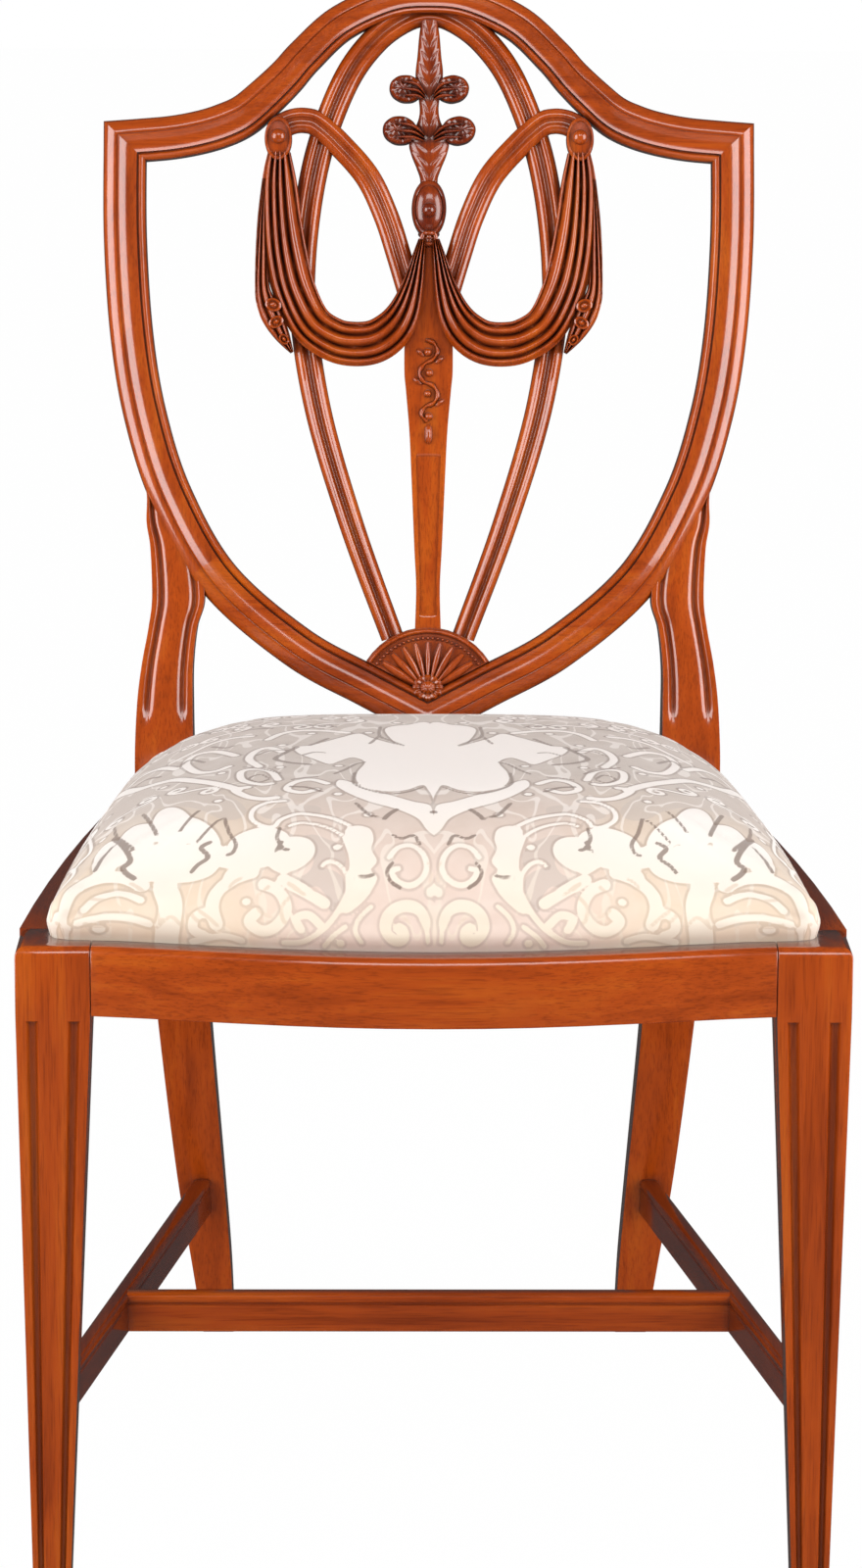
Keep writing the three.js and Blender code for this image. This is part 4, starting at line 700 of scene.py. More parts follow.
def turned(name, place, reach, profile, tilt=0.0, flutes=0, flute_deep=0.0, focus=(0, 0), sides=40):
    """A round or oval boss in the back: rings of the given shares of its reach, at the given depths.

    The flutes are hollows that run out from the middle, and focus shifts the middle aside.
    """
    angles = np.linspace(0, 2 * np.pi, sides, endpoint=False)
    rings = []
    for share, depth in profile:
        x, z = reach[0] * share * np.cos(angles), reach[1] * share * np.sin(angles)
        sink = depth + flute_deep * share * (0.5 - 0.5 * np.cos(flutes * angles)) * (depth < profile[0][1])
        across = place[0] + focus[0] * (1 - share) + x * math.cos(tilt) - z * math.sin(tilt)
        up = place[1] + focus[1] * (1 - share) + x * math.sin(tilt) + z * math.cos(tilt)
        rings.append(np.stack([across, sink, up], -1))
    return skinned(name, leaned(rings))


def dome(front, back, rim=0.0):
    """The profile of a plain dome, from the middle of its back round its edge to the middle of its front."""
    steps = np.linspace(0, np.pi / 2, 9)
    curve = [(math.cos(a), back - rim - (back - rim - front) * math.sin(a)) for a in steps[:-1]]
    return [(0.05, back), (0.9, back), (1, back - rim)] + curve[1:] + [(0.05, front)]


carved_side = {"left": [], "right": []}
swag_section = folded(fold_count, swag_front, swag_back, fold_deep_share)
for side, hand in hands.items():
    table = [(hand * x * swag_half, swag_top + z * swag_drop, w * swag_width) for x, z, w in swag_shares]
    carved_side[side].append(drape(f"swag_{side}_folds", table, 110, swag_section, hand))

# The end of each drape hangs straight down outside the swag, and is gathered into a curled tassel.
tail_places = (
    (115.5, 425, 3), (117, 400, 6), (117.3, 375, 8.5), (117, 352, 10), (115, 341, 13), (110, 329, 15),
    (103, 316, 11), (96, 304, 2.5),
)
curl_places = ((109, 337, 6.6, 5.2, 0.3), (107, 325, 6.2, 4.6, -0.5), (101.5, 313, 4.6, 3.4, 0.9))
curl_profile = (
    (0.05, 6), (0.95, 6), (1, 2), (0.97, -1), (0.86, -4), (0.7, -4.6), (0.55, -3.4), (0.46, -2.8),
    (0.36, -3.6), (0.2, -4.8), (0.05, -5),
)
tail_section = folded(3, -3.2, swag_back, 0.4, drift=1.2, samples=41)
for side, hand in hands.items():
    table = [(hand * x, z, w) for x, z, w in tail_places]
    carved_side[side].append(drape(f"tail_{side}", table, 70, tail_section, hand))
    for n, (x, z, wide, tall, tilt) in enumerate(curl_places):
        curl = turned(f"curl_{side}_{n + 1}", (hand * x, z), (wide, tall), curl_profile, hand * tilt)
        carved_side[side].append(curl)

# A rosette covers the place where each drape, loop and crest meet: an oval tablet with a rim and a round
# button.
rosette_middle = (105.6, 453)
rosette_reach = (9.6, 15.5)
rosette_profile = (
    (0.05, 8), (0.94, 8), (1, 7), (1, -2.6), (0.96, -4.2), (0.89, -4.9), (0.82, -4.3), (0.78, -3.2),
    (0.6, -3.4), (0.4, -3.8), (0.05, -4),
)
button_rise = 1.4
button_reach = (5.4, 5.4)
for side, hand in hands.items():
    x, z = hand * rosette_middle[0], rosette_middle[1]
    carved_side[side] += [
        turned(f"rosette_{side}", (x, z), rosette_reach, rosette_profile),
        turned(f"rosette_button_{side}", (x, z + button_rise), button_reach, dome(-8, -2.5, 0.5)),
    ]
    for piece in carved_side[side]:
        settle(piece, mahogany_carved, f"swag_{side}")

# The plume: a leafy stem under the arch with two pairs of curled lobes, a leaf that narrows to a neck, and an
# oval boss with a round button. It is carved in low relief, with veins cut by a gouge.
bar_front, bar_back = 5.5, 19.5
plume_back = 19
stem_heights = (536, 525, 511, 500, 490, 481, 474, 467, 459, 451, 443, 434, 426, 417)
stem_halves = (5.6, 7.2, 8.4, 9.6, 8.8, 7.2, 6.6, 7.6, 11.0, 14.0, 12.4, 8.8, 6.2, 6.4)
stem_across = np.linspace(-0.5, 0.5, 33)
mahogany_plume = polished("mahogany_plume", "Z", 1.0, 1.25, coat=0.5)


def veined_section(share):
    """A leaf's section: a rib down the middle, and veins that run up and out from it."""
    ribs = np.abs(np.sin(np.pi * (13 * share + 2.2 * np.abs(stem_across)))) ** 0.6
    middle = np.exp(-((stem_across / 0.07) ** 2))
    swell = 1 - (2 * stem_across) ** 4
    sink = bar_front + 1.6 - 3.4 * swell - 1.2 * ribs * swell * (1 - middle) - 0.8 * middle
    return np.vstack([np.stack([stem_across, sink], -1), ((0.5, bar_back), (-0.5, bar_back))])


table = through([(0, z, 2 * w) for z, w in zip(stem_heights, stem_halves)], 190)
carved_middle = [skinned("plume_stem", tapered_rings(table[:, :2], table[:, 2], veined_section), sharp=70)]
# Each pair of lobes: its name, place and reach. Each leaf of a lobe: how far out it reaches, and how high.
lobe_tiers = (("upper", 16.2, 488.5, 11.8, 9.6), ("lower", 20.5, 459.5, 12.2, 10))
leaf_tips = ((0.52, 4.6), (0.6, -0.6), (0.5, -5.2))
leaf_steps = 26
leaf_section = folded(1, -2.2, 6, 0.55, samples=15)
leaf_widths = 3.4 * np.sin(np.pi * np.linspace(0.12, 0.93, leaf_steps))
lobe_profile = (
    (0.05, plume_back), (0.9, plume_back), (1, 17), (1, 6), (0.97, 3.2), (0.88, 1.2), (0.74, 0.4), (0.6, 1.0),
    (0.5, 1.6), (0.38, 1.0), (0.24, 0.2), (0.05, 0),
)
for side, hand in hands.items():
    for tier, x, z, wide, tall in lobe_tiers:
        carved_middle.append(turned(
            f"lobe_{tier}_{side}", (hand * x, z), (wide, tall), lobe_profile, hand * 0.12,
            flutes=9, flute_deep=1.7, focus=(hand * 2.4, 0.6), sides=72,
        ))
        for n, (reach, lift) in enumerate(leaf_tips):
            tip = (x + wide * (reach - 0.25), z + lift)
            run = ((3, z - 6 + 0.4 * lift), (x * 0.55, z - 1 + lift * 0.8), tip)
            line = through(mirrored(run, hand), leaf_steps)
            carved_middle.append(carved(f"leaf_{tier}_{side}_{n + 1}", line, leaf_widths, leaf_section))

boss_profile = (
    (0.05, plume_back), (0.92, plume_back), (1, 17), (1, 5.6), (0.97, 3.2), (0.9, 1.6), (0.83, 1.8),
    (0.78, 2.6), (0.72, 1.2), (0.5, -0.8), (0.3, -1.6), (0.05, -1.8),
)
carved_middle.append(turned("boss", (0, 405), (12.2, 20.5), boss_profile, sides=56))
carved_middle.append(turned("boss_button", (0, 403.5), (5.2, 5.2), dome(-7.4, 0, 0.6)))
for piece in carved_middle:
    settle(piece, mahogany_plume, "centre_splat")

# The knot under the boss: a small collar, then the drape gathered tight in a ring of narrow folds.
carved_middle = []
for name, z, wide, tall, front in (
    ("collar_top", 387.5, 7.6, 3.6, -1.5), ("collar_bottom", 384, 6.2, 2.6, 0.2),
    ("knot", 380, 8.6, 3.4, -2.8),
):
    carved_middle.append(turned(name, (0, z), (wide, tall), dome(front, 18, 2), sides=36))

# The middle bar: the drape's centre fold opens out of the knot, then the bar widens, carries a chain of
# husks, and ends in a long sunk panel down to the lunette.
splat_width, splat_foot, splat_rise = 34, 111, 422
bar_shares = (
    (0.53, -0.012), (0.53, 0), (0.49, 0.067), (0.57, 0.134), (0.71, 0.265), (0.79, 0.33), (0.93, 0.395),
    (1, 0.43), (0.97, 0.5), (0.8, 0.56), (0.42, 0.64), (0.3, 0.655),
)
panel_top, panel_foot, panel_deep, panel_share = 233, 119, 1.5, 0.34
fold_foot, fold_run = 316, 45
bar_side_marks = (0.5, 0.47, 0.43, 0.38, 0.345, 0.335, 0.3, 0.25, 0.2, 0.15, 0.1, 0.05)
bar_marks = np.array([-mark for mark in bar_side_marks] + [0] + list(reversed(bar_side_marks)))
table = through([(0, splat_foot + z * splat_rise, w * splat_width) for w, z in bar_shares], 230)


def bar_section(share):
    """The bar's face: a sunk panel low down, plain and slightly crowned above, folds at the top."""
    height = np.interp(share, (0, 1), (table[0, 1], table[-1, 1]))
    sunk = panel_deep * min(1, max(0, min(panel_top - height, height - panel_foot) / 1.6))
    within = (np.abs(bar_marks) < panel_share) * 1.0
    crown = 0.9 * (2 * bar_marks) ** 2
    opened = min(1, max(0, (height - fold_foot) / fold_run))
    ridges = 2.6 * opened * (1 - np.abs(np.cos(np.pi * 2.5 * bar_marks)) ** 0.7)
    sink = bar_front + crown * (1 - within * (sunk > 0)) + sunk * within + ridges - 4.5 * opened
    rear = ((0.5, bar_back - 1), (0.45, bar_back), (-0.45, bar_back), (-0.5, bar_back - 1))
    return np.vstack([np.stack([bar_marks, sink], -1), rear])


# The middle bar has less glaze and a lighter tone than the other carving: a painted highlight on its folds.
mahogany_bar_painted_highlight = polished("mahogany_bar_painted_highlight", "Z", 0.35, 0.3)
middle_bar = skinned("middle_bar", tapered_rings(table[:, :2], table[:, 2], bar_section), sharp=40)
settle(middle_bar, mahogany_bar_painted_highlight, "centre_splat")
vine_steps = 120
vine_places = (
    (-2, 313), (3.5, 311), (6.2, 305), (3, 299.5), (-3, 296), (-6.5, 290), (-3.5, 284), (3, 281), (6.3, 275),
    (3.5, 269), (-2.5, 266), (-5, 260.5), (-1, 256),
)
vine_widths = 2.6 + 1.4 * np.sin(np.linspace(0, 9.5 * np.pi, vine_steps)) ** 2
vine_section = folded(1, 2.4, 6.6, 0.8, samples=11)
carved_middle.append(carved("husk_vine", through(vine_places, vine_steps), vine_widths, vine_section))
husk_balls = (
    (-0.5, 304.5, 3.2, 3.2), (0.5, 290, 3, 3), (-0.5, 275.5, 2.8, 2.8), (0, 259.5, 3.2, 3), (0, 247, 3, 7.4),
)
husk_leaves = ((7.5, 299, -0.9), (-7.5, 284, 0.9), (7.5, 269, -0.9), (-5.5, 304, 0.8))
for n, (x, z, wide, tall) in enumerate(husk_balls):
    carved_middle.append(turned(f"husk_{n + 1}", (x, z), (wide, tall), dome(1.4, 6.6), sides=20))
for n, (x, z, tilt) in enumerate(husk_leaves):
    carved_middle.append(turned(f"husk_leaf_{n + 1}", (x, z), (1.9, 4.2), dome(3.6, 6.4), tilt, sides=16))
for piece in carved_middle:
    settle(piece, mahogany_carved, "centre_splat")

# The lunette: a half round board with a beaded rim, leaf rays that open like a fan, and a half flower at
# their root. It stands on the V of the shield's lower rail.
lunette_half, lunette_rise, lunette_top = 43.6, 24, 111
lunette_radius = (lunette_half**2 + lunette_rise**2) / (2 * lunette_rise)
lunette_reach = math.asin(lunette_half / lunette_radius)
lunette_root = np.array((0, 66))
rim_share, bead_share, ray_share = 0.97, 0.93, 0.86
rim_inset, bead_inset, ray_inset = 2.4, 7.2, 10.2
rim_steps, rim_width = 70, 4.2
bead_half_count, bead_reach = 12, (1.45, 1.45)
ray_count, ray_steps, ray_start_share = 9, 24, 0.2
flower_profile = (
    (0.05, 8), (0.94, 8), (1, 5), (0.96, 1.8), (0.8, 0.2), (0.62, 0.6), (0.5, 1.6), (0.4, 0), (0.2, -1.4),
    (0.05, -1.8),
)
carved_fan = [eased_copy("lunette", "lunette_board", 0.0005)]


def lunette_edge(share, inset):
    """A place on the lunette's arc, at a share of its reach from its top, drawn in by inset."""
    radius = lunette_radius - inset
    angle = lunette_reach * share
    return np.array((radius * math.sin(angle), lunette_top - lunette_radius + radius * math.cos(angle)))


rim = [lunette_edge(share, rim_inset) for share in np.linspace(-rim_share, rim_share, rim_steps)]
rim_section = folded(1, 1.6, 6, 0.9, samples=17)
carved_fan.append(carved("lunette_rim", np.array(rim), np.full(rim_steps, rim_width), rim_section))
for n in range(2 * bead_half_count + 1):
    bead_place = lunette_edge(bead_share * (n / bead_half_count - 1), bead_inset)
    carved_fan.append(turned(f"lunette_bead_{n}", bead_place, bead_reach, dome(2.2, 6), sides=12))
for n in range(ray_count):
    aside = 2 * n / (ray_count - 1) - 1
    tip = lunette_edge(ray_share * aside, ray_inset)
    line = np.linspace(lunette_root + (tip - lunette_root) * ray_start_share, tip, ray_steps)
    wide = (2.2 + 5.2 * np.sin(np.pi * np.linspace(0.05, 0.86, ray_steps))) * (0.7 + 0.3 * abs(aside))
    carved_fan.append(carved(f"lunette_ray_{n + 1}", line, wide, folded(1, 1.4, 6, 0.8, samples=15)))
carved_fan.append(
    turned("lunette_flower", (0, 69), (11, 9.5), flower_profile, flutes=12, flute_deep=1.4, sides=96)
)
for piece in carved_fan:
    settle(piece, mahogany_carved, "lunette")

# The seat rails: bowed front and sides, straight rear, rebated for the drop-in seat and tenoned to the legs.
# Their top edge is a round nosing, and old polish and painted shade darken them along the rebate.
# How far the painted shade reaches: the cushion's edge darkens the rails near it.
rail_shade_reach = 0.016
rail_across = polished("mahogany_rail_across", "X", 0.95, 0.55, reach=rail_shade_reach)
rail_deep = polished("mahogany_rail_deep", "Y", 0.95, 0.6, reach=rail_shade_reach)
for node, name, finish, way in (
    ("front_rail", "bowed_front_rail", rail_across, (0, -1, 0)),
    ("rear_rail", "straight_rear_rail", rail_across, (0, 1, 0)),
    ("side_rail_left", "bowed_side_rail_left", rail_deep, (-1, 0, 0)),
    ("side_rail_right", "bowed_side_rail_right", rail_deep, (1, 0, 0)),
):
    settle(eased_copy(node, name, 0.0008, (way,)), finish, node)

# The stretchers: two from front to back and one across, planed from mahogany and tenoned to the legs, with a
# bead worked along both top edges.
stretcher_foot = 97.5
side_half, cross_half = 6.5, 7.5
half_section = (
    (0.86, 0), (0.94, 0.5), (0.94, 18.4), (0.8, 19.2), (0.8, 19.9), (0.93, 20.7), (1, 22), (0.98, 23.6),
    (0.86, 25.2), (0.6, 26.2), (0.25, 26.5),
)
stretcher_section = np.array([(-x, z) for x, z in half_section] + [(x, z) for x, z in reversed(half_section)])
# The middles of their ends, a little way inside the legs, on the right.
side_run = ((243.4, -241.4), (161.1, 212.1))
cross_run = ((-203.5, -41.6), (203.5, -41.6))
# Both stretcher finishes are painted darker than the frame, the side ones most: painted shade under the seat.
stretcher_deep_shaded = polished("mahogany_stretcher_deep_shaded", "Y", 0.9, 1.1)
stretcher_across_shaded = polished("mahogany_stretcher_across_shaded", "X", 0.9, 0.6)


def stretcher(name, run, half, aside):
    """A beaded stretcher between two places of the plan, given half its width and the way across it."""
    rings = []
    for spot in np.linspace(*np.array(run, float), 24):
        plan_places = spot + stretcher_section[:, :1] * half * np.array(aside)
        rings.append(np.column_stack([plan_places, stretcher_foot + stretcher_section[:, 1]]) / 1000)
    return skinned(name, rings, sharp=30)


for side, hand in hands.items():
    beaded = stretcher(f"beaded_stretcher_{side}", mirrored(side_run, hand), side_half, (1, 0))
    settle(beaded, stretcher_deep_shaded, f"side_stretcher_{side}")
beaded = stretcher("beaded_stretcher_cross", cross_run, cross_half, (0, 1))
settle(beaded, stretcher_across_shaded, "cross_stretcher")

# Under the seat: plain beech corner blocks, glued and screwed, and the beech frame of the seat, half lapped.
beech_dark = (0.31, 0.185, 0.095, 1)
beech_light = (0.46, 0.305, 0.17, 1)
beech, tree, shader = new_material("beech")
fibres = noise_node(tree, stretched(tree, object_place(tree), (0.07, 1, 1)), 260, 5, 0.6)
wired(shader, {
    "Base Color": ramp_node(tree, fibres, ((0.3, beech_dark), (0.7, beech_light))),
    "Roughness": 0.7,
})
block_ends = [f"{end}_{side}" for end in ("front", "rear") for side in hands]


def dress(nodes, finish):
    """Gives the solids of the named nodes a finish."""
    for node in nodes:
        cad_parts[node].data.materials.clear()
        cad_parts[node].data.materials.append(finish)


dress([f"corner_block_{end}" for end in block_ends], beech)
dress([f"seat_frame_{part}" for part in ("front", "rear", "left", "right")], beech)

# The screws of the blocks are plain steel, dulled by age.
steel_dark = (0.2, 0.17, 0.15, 1)
steel_light = (0.5, 0.49, 0.47, 1)
steel, tree, shader = new_material("dull_steel")
stains = noise_node(tree, object_place(tree), 700, 4, 0.6)
wired(shader, {
    "Base Color": ramp_node(tree, stains, ((0.35, steel_dark), (0.65, steel_light))),
    "Roughness": math_node(tree, "MULTIPLY_ADD", stains, 0.4, 0.25),
    "Metallic": 1,
})
dress([f"block_screw_{end}_{n}" for end in block_ends for n in "ab"], steel)

# The seat's webbing straps and hessian are jute, woven from coarse round threads.
jute_thread = 2800
jute_under_thread_shade = (0.19, 0.12, 0.06, 1)
jute_over_thread = (0.47, 0.34, 0.2, 1)
jute, tree, shader = new_material("jute")


def woven_threads(tree, place, turns):
    """Threads that cross: above zero where one lies over the other, and below zero where it lies under."""
    parts = new_node(tree, "ShaderNodeSeparateXYZ", {"Vector": place}).outputs
    over, under = (math_node(tree, "SINE", times(tree, parts[axis], turns)) for axis in "XY")
    return times(tree, over, under)


# Where a thread dips under another it is painted darker: painted shade between the threads.
crossing = math_node(tree, "MULTIPLY_ADD", woven_threads(tree, object_place(tree), jute_thread), 0.5, 0.5)
jute_with_thread_shade = ramp_node(tree, crossing, ((0.1, jute_under_thread_shade), (0.8, jute_over_thread)))
wired(shader, {"Base Color": jute_with_thread_shade, "Roughness": 0.9})
bumped(tree, shader, crossing, 1, 0.0004)

# The drop-in seat: a crowned cushion of hair and felt over webbing, covered in silk damask. The cover is
# drawn down over the sides of the seat frame, turned under and tacked.
leg_top = 46.5
seat_front_half, seat_rear_half, side_bow = 259, post_half, 6.5
side_inset, side_taper = 19, 7
front_line, front_bow, bow_half, bow_power = 20, 28.5, 212.5, 1.2
seat_clear = 0.8
wall_top, wall_foot, crown_rise, crown_reach, crown_power = 452, 408.4, 44, 170, 2.7
roll, bulge, turn_under, cover_thick = 9, 2.6, 14, 1.2
roll_start = math.radians(38)
pad_low = 436.1
mesh_step, mesh_wide, mesh_long = 4.4, 484, 452
front_round, rear_round = 14, 24
soft_join = 26
seat_gap_weld = 0.00004
soft_angle = math.radians(50)


def seat_gaps(points):
    """How far each point of the plan lies inside the front, the two sides and the rear edge, in mm."""
    x, y = points[..., 0], points[..., 1]
    along = np.clip((y - leg_top) / (post_front - leg_top), 0, 1)
    side = seat_front_half + (seat_rear_half - seat_front_half) * along
    side = side + side_bow * (1 - (2 * along - 1) ** 2) - (side_inset - side_taper * along)
    bow = np.maximum(0, np.cos(np.clip(x / bow_half, -1, 1) * np.pi / 2)) ** bow_power
    return y - front_line + front_bow * bow, side - x, side + x, post_front - y


def inside(points):
    """How far inside the rounded plan each point lies."""
    front, right, left, rear = seat_gaps(points)
    side = np.minimum(right, left)
    depths = []
    for edge, radius in ((front, front_round), (rear, rear_round)):
        corner = radius - np.hypot(np.maximum(radius - edge, 0), np.maximum(radius - side, 0))
        depths.append(np.minimum(np.minimum(edge, side), corner))
    return np.minimum(*depths)


# The plan's outline is found by halving the way out from its middle, in every direction.
angles = np.linspace(-np.pi, np.pi, 2400, endpoint=False)
outwards = np.stack([np.cos(angles), np.sin(angles)], -1)
seat_middle = np.array((0, 218))
halvings = 30
near, far = np.zeros(len(outwards)), np.full(len(outwards), 400.0)
for halving in range(halvings):
    middle = (near + far) / 2
    within = inside(seat_middle + outwards * middle[:, None]) > seat_clear
    near, far = np.where(within, middle, near), np.where(within, far, middle)
plan = seat_middle + outwards * near[:, None]
plan_corners = ((-240, 20), (240, 20), (194, 444), (-194, 444))
corners = [int(np.argmin(np.hypot(*(plan - corner).T))) for corner in plan_corners]


def plan_side(start, stop, count):
    """The plan from one corner to the next, as evenly spaced places."""
    run = np.vstack([plan[start:], plan[: stop + 1]]) if stop < start else plan[start : stop + 1]
    gone = np.concatenate([[0], np.cumsum(np.hypot(*np.diff(run, axis=0).T))])
    wanted = np.linspace(0, gone[-1], count)
    return np.stack([np.interp(wanted, gone, run[:, 0]), np.interp(wanted, gone, run[:, 1])], -1)


count_x, count_y = round(mesh_wide / mesh_step), round(mesh_long / mesh_step)
edges = [
    plan_side(corners[n], corners[(n + 1) % 4], count)[:-1] for n, count in enumerate((count_x, count_y) * 2)
]
edge_loop = np.vstack(edges)
ahead = np.roll(edge_loop, -1, 0) - np.roll(edge_loop, 1, 0)
outward = np.stack([ahead[:, 1], -ahead[:, 0]], -1) / np.hypot(*ahead.T)[:, None]


def drawn_in(amount):
    """The edge loop drawn in by an amount."""
    return edge_loop - outward * amount


def spread_over(loop):
    """A grid of places that fills an edge loop."""
    cuts = np.cumsum([0, count_x - 1, count_y - 1, count_x - 1])
    front, right = loop[cuts[0] : cuts[1] + 1], loop[cuts[1] : cuts[2] + 1]
    rear, left = loop[cuts[2] : cuts[3] + 1][::-1], np.vstack([loop[cuts[3] :], loop[:1]])[::-1]
    a = np.linspace(0, 1, count_x)[None, :, None]
    b = np.linspace(0, 1, count_y)[:, None, None]
    places = (1 - b) * front + b * rear + (1 - a) * left[:, None] + a * right[:, None]
    places -= (1 - a) * (1 - b) * front[0] + a * (1 - b) * front[-1]
    return places - (1 - a) * b * rear[0] - a * b * rear[-1]


def cloth_grid(points, cloth):
    """A grid with its points in place, and the cloth's own places kept on it."""
    part = gridded(points)
    kept = part.data.attributes.new("cloth", "FLOAT_VECTOR", "POINT")
    kept.data.foreach_set("vector", np.dstack([cloth, np.zeros(cloth.shape[:2])]).ravel())
    return part


def sewn(name, parts):
    """One soft piece from parts whose edges meet, the last of them active."""
    for part in parts:
        part.select_set(True)
    whole = parts[-1]
    whole.name = name
    bpy.context.view_layer.objects.active = whole
    bpy.ops.object.join()
    welded(seat_gap_weld)
    return whole


def crown_height(points):
    """The crown's height over the plan, eased where two slopes meet."""
    gap = -soft_join * np.log(sum(np.exp(-edge / soft_join) for edge in seat_gaps(points)))
    return wall_top + crown_rise * (1 - (1 - np.clip(gap / crown_reach, 0, 1)) ** crown_power)


rim_loop = drawn_in(roll)
rim_height = crown_height(rim_loop)
top = spread_over(rim_loop)
crown = cloth_grid(standing(top, crown_height(top)), top)

# Each ring of the sides: how far it is drawn in, and its height. The roll of the rim comes first, then the
# wall, the turn under the frame and the cover's inner face up to the stuffing.
roll_foot = 441
ring_marks = []
for angle in np.linspace(roll_start, math.radians(90), 7)[1:]:
    out_share = (math.sin(angle) - math.sin(roll_start)) / (1 - math.sin(roll_start))
    drop_share = 1 - math.cos(angle) / math.cos(roll_start)
    ring_marks.append((roll - (roll + bulge) * out_share, rim_height - (rim_height - roll_foot) * drop_share))
ring_marks += [
    (-bulge, 438), (-bulge * 0.9, 434), (-bulge * 0.7, 430), (-bulge * 0.35, 427), (-0.1, 424.4), (0, 421),
    (0, 416), (0, 411), (0.05, 409.2), (0.5, 408.6), (1.4, wall_foot), (4, wall_foot), (9, wall_foot),
    (turn_under, wall_foot), (turn_under + 0.3, wall_foot + 0.5), (turn_under, wall_foot + 0.9),
    (9, wall_foot + 0.9), (cover_thick + 0.5, wall_foot + 0.9), (cover_thick + 0.15, wall_foot + 1.3),
    (cover_thick + 0.1, 420), (cover_thick + 0.1, pad_low - 0.5), (cover_thick + 0.6, pad_low), (12, pad_low),
]
ring_places, ring_heights, ring_reach = [rim_loop], [rim_height], [np.zeros(len(rim_loop))]
for drawn_by, height in ring_marks:
    places = drawn_in(drawn_by)
    heights = np.full(len(places), height, float)
    ring_reach.append(ring_reach[-1] + np.hypot(
        np.hypot(*(places - ring_places[-1]).T), heights - ring_heights[-1]
    ))
    ring_places.append(places)
    ring_heights.append(heights)
rings = np.array([standing(places, heights) for places, heights in zip(ring_places, ring_heights)])
cloth = np.array([rim_loop + outward * reach[:, None] for reach in ring_reach])
walls = cloth_grid(rolled(rings), rolled(cloth))
under = spread_over(ring_places[-1])
underside = cloth_grid(standing(under, pad_low), under)
cushion = sewn("cushion", (underside, walls, crown))


def read_rows(values, field):
    """Three numbers of a field for each value, as rows."""
    rows = np.empty(len(values) * 3)
    values.foreach_get(field, rows)
    return rows.reshape(-1, 3)


# The stuffing presses the cover outwards. The cover is held below the edge of the rails, and may move no more
# than the cap.
cap = 0.005
hold_below = 0.4365
press_moments = 16
before = read_rows(cushion.data.vertices, "co")
hold = cushion.vertex_groups.new(name="hold")
hold.add([int(n) for n in np.nonzero(before[:, 2] < hold_below)[0]], 1, "REPLACE")
press = cushion.modifiers.new("press", "CLOTH")
press.settings.quality = 4
press.settings.use_pressure = True
press.settings.uniform_pressure_force = 4
press.settings.effector_weights.gravity = 0
press.settings.vertex_group_mass = "hold"
for moment in range(press_moments):
    scene.frame_set(moment + 1)
shown = cushion.evaluated_get(bpy.context.evaluated_depsgraph_get()).to_mesh()
moved = read_rows(shown.vertices, "co") - before
moved *= np.minimum(1, cap / np.maximum(np.linalg.norm(moved, axis=1)[:, None], 1e-9))
cushion.modifiers.remove(press)
cushion.data.vertices.foreach_set("co", (before + moved).ravel())
cushion.vertex_groups.clear()
scene.frame_set(1)
finer = cushion.modifiers.new("finer", "SUBSURF")
finer.levels = finer.render_levels = 1
bpy.ops.object.modifier_apply(modifier="finer")
bpy.ops.object.shade_smooth_by_angle(angle=soft_angle)

# Under the stuffing a base cloth lies on the webbing, and a dust cloth closes the seat from below. Both are
# thin jute hessian with the edges folded in. The dust cloth is puckered between its tacks and sags a little.
tack_count = 56
slack_reach, pucker_reach, tack_reach = 60, 14, 4
sheet_thick = 0.6
edge_marks = ((0, 0), (0.4, 0.3), (0.4, 0.7), (0, 1))


def sheet(name, inset, low, slack, pucker):
    """A thin closed cloth over the plan: how far inside its edge, its height, its sag and its puckers."""
    outline = drawn_in(inset)
    spread = spread_over(outline)
    depth = np.clip(inside(spread) - inset, 0, None)
    bearing = np.arctan2(spread[..., 0], spread[..., 1] - seat_middle[1])
    puckers = (1 + np.sin(tack_count * bearing)) * np.exp(-depth / pucker_reach)
    heights = low - slack * (1 - np.exp(-depth / slack_reach))
    heights -= pucker * puckers * np.minimum(1, depth / tack_reach)
    faces = [cloth_grid(standing(spread, heights + lift), spread) for lift in (0, sheet_thick)]
    loops = np.array([standing(drawn_in(inset - out), low + sheet_thick * up) for out, up in edge_marks])
    edge = cloth_grid(rolled(loops), np.zeros((len(edge_marks), len(outline) + 1, 2)))
    made = sewn(name, (*faces, edge))
    bpy.ops.object.shade_smooth_by_angle(angle=soft_angle)
    return made


settle(sheet("dust_hessian", 15.2, 408.4, 2.4, 0.4), jute, "dust_cloth", body="seat", slot="jute")
settle(sheet("base_hessian", 21.5, 434.75, -0.3, 0), jute, "base_cloth", body="seat", slot="jute")

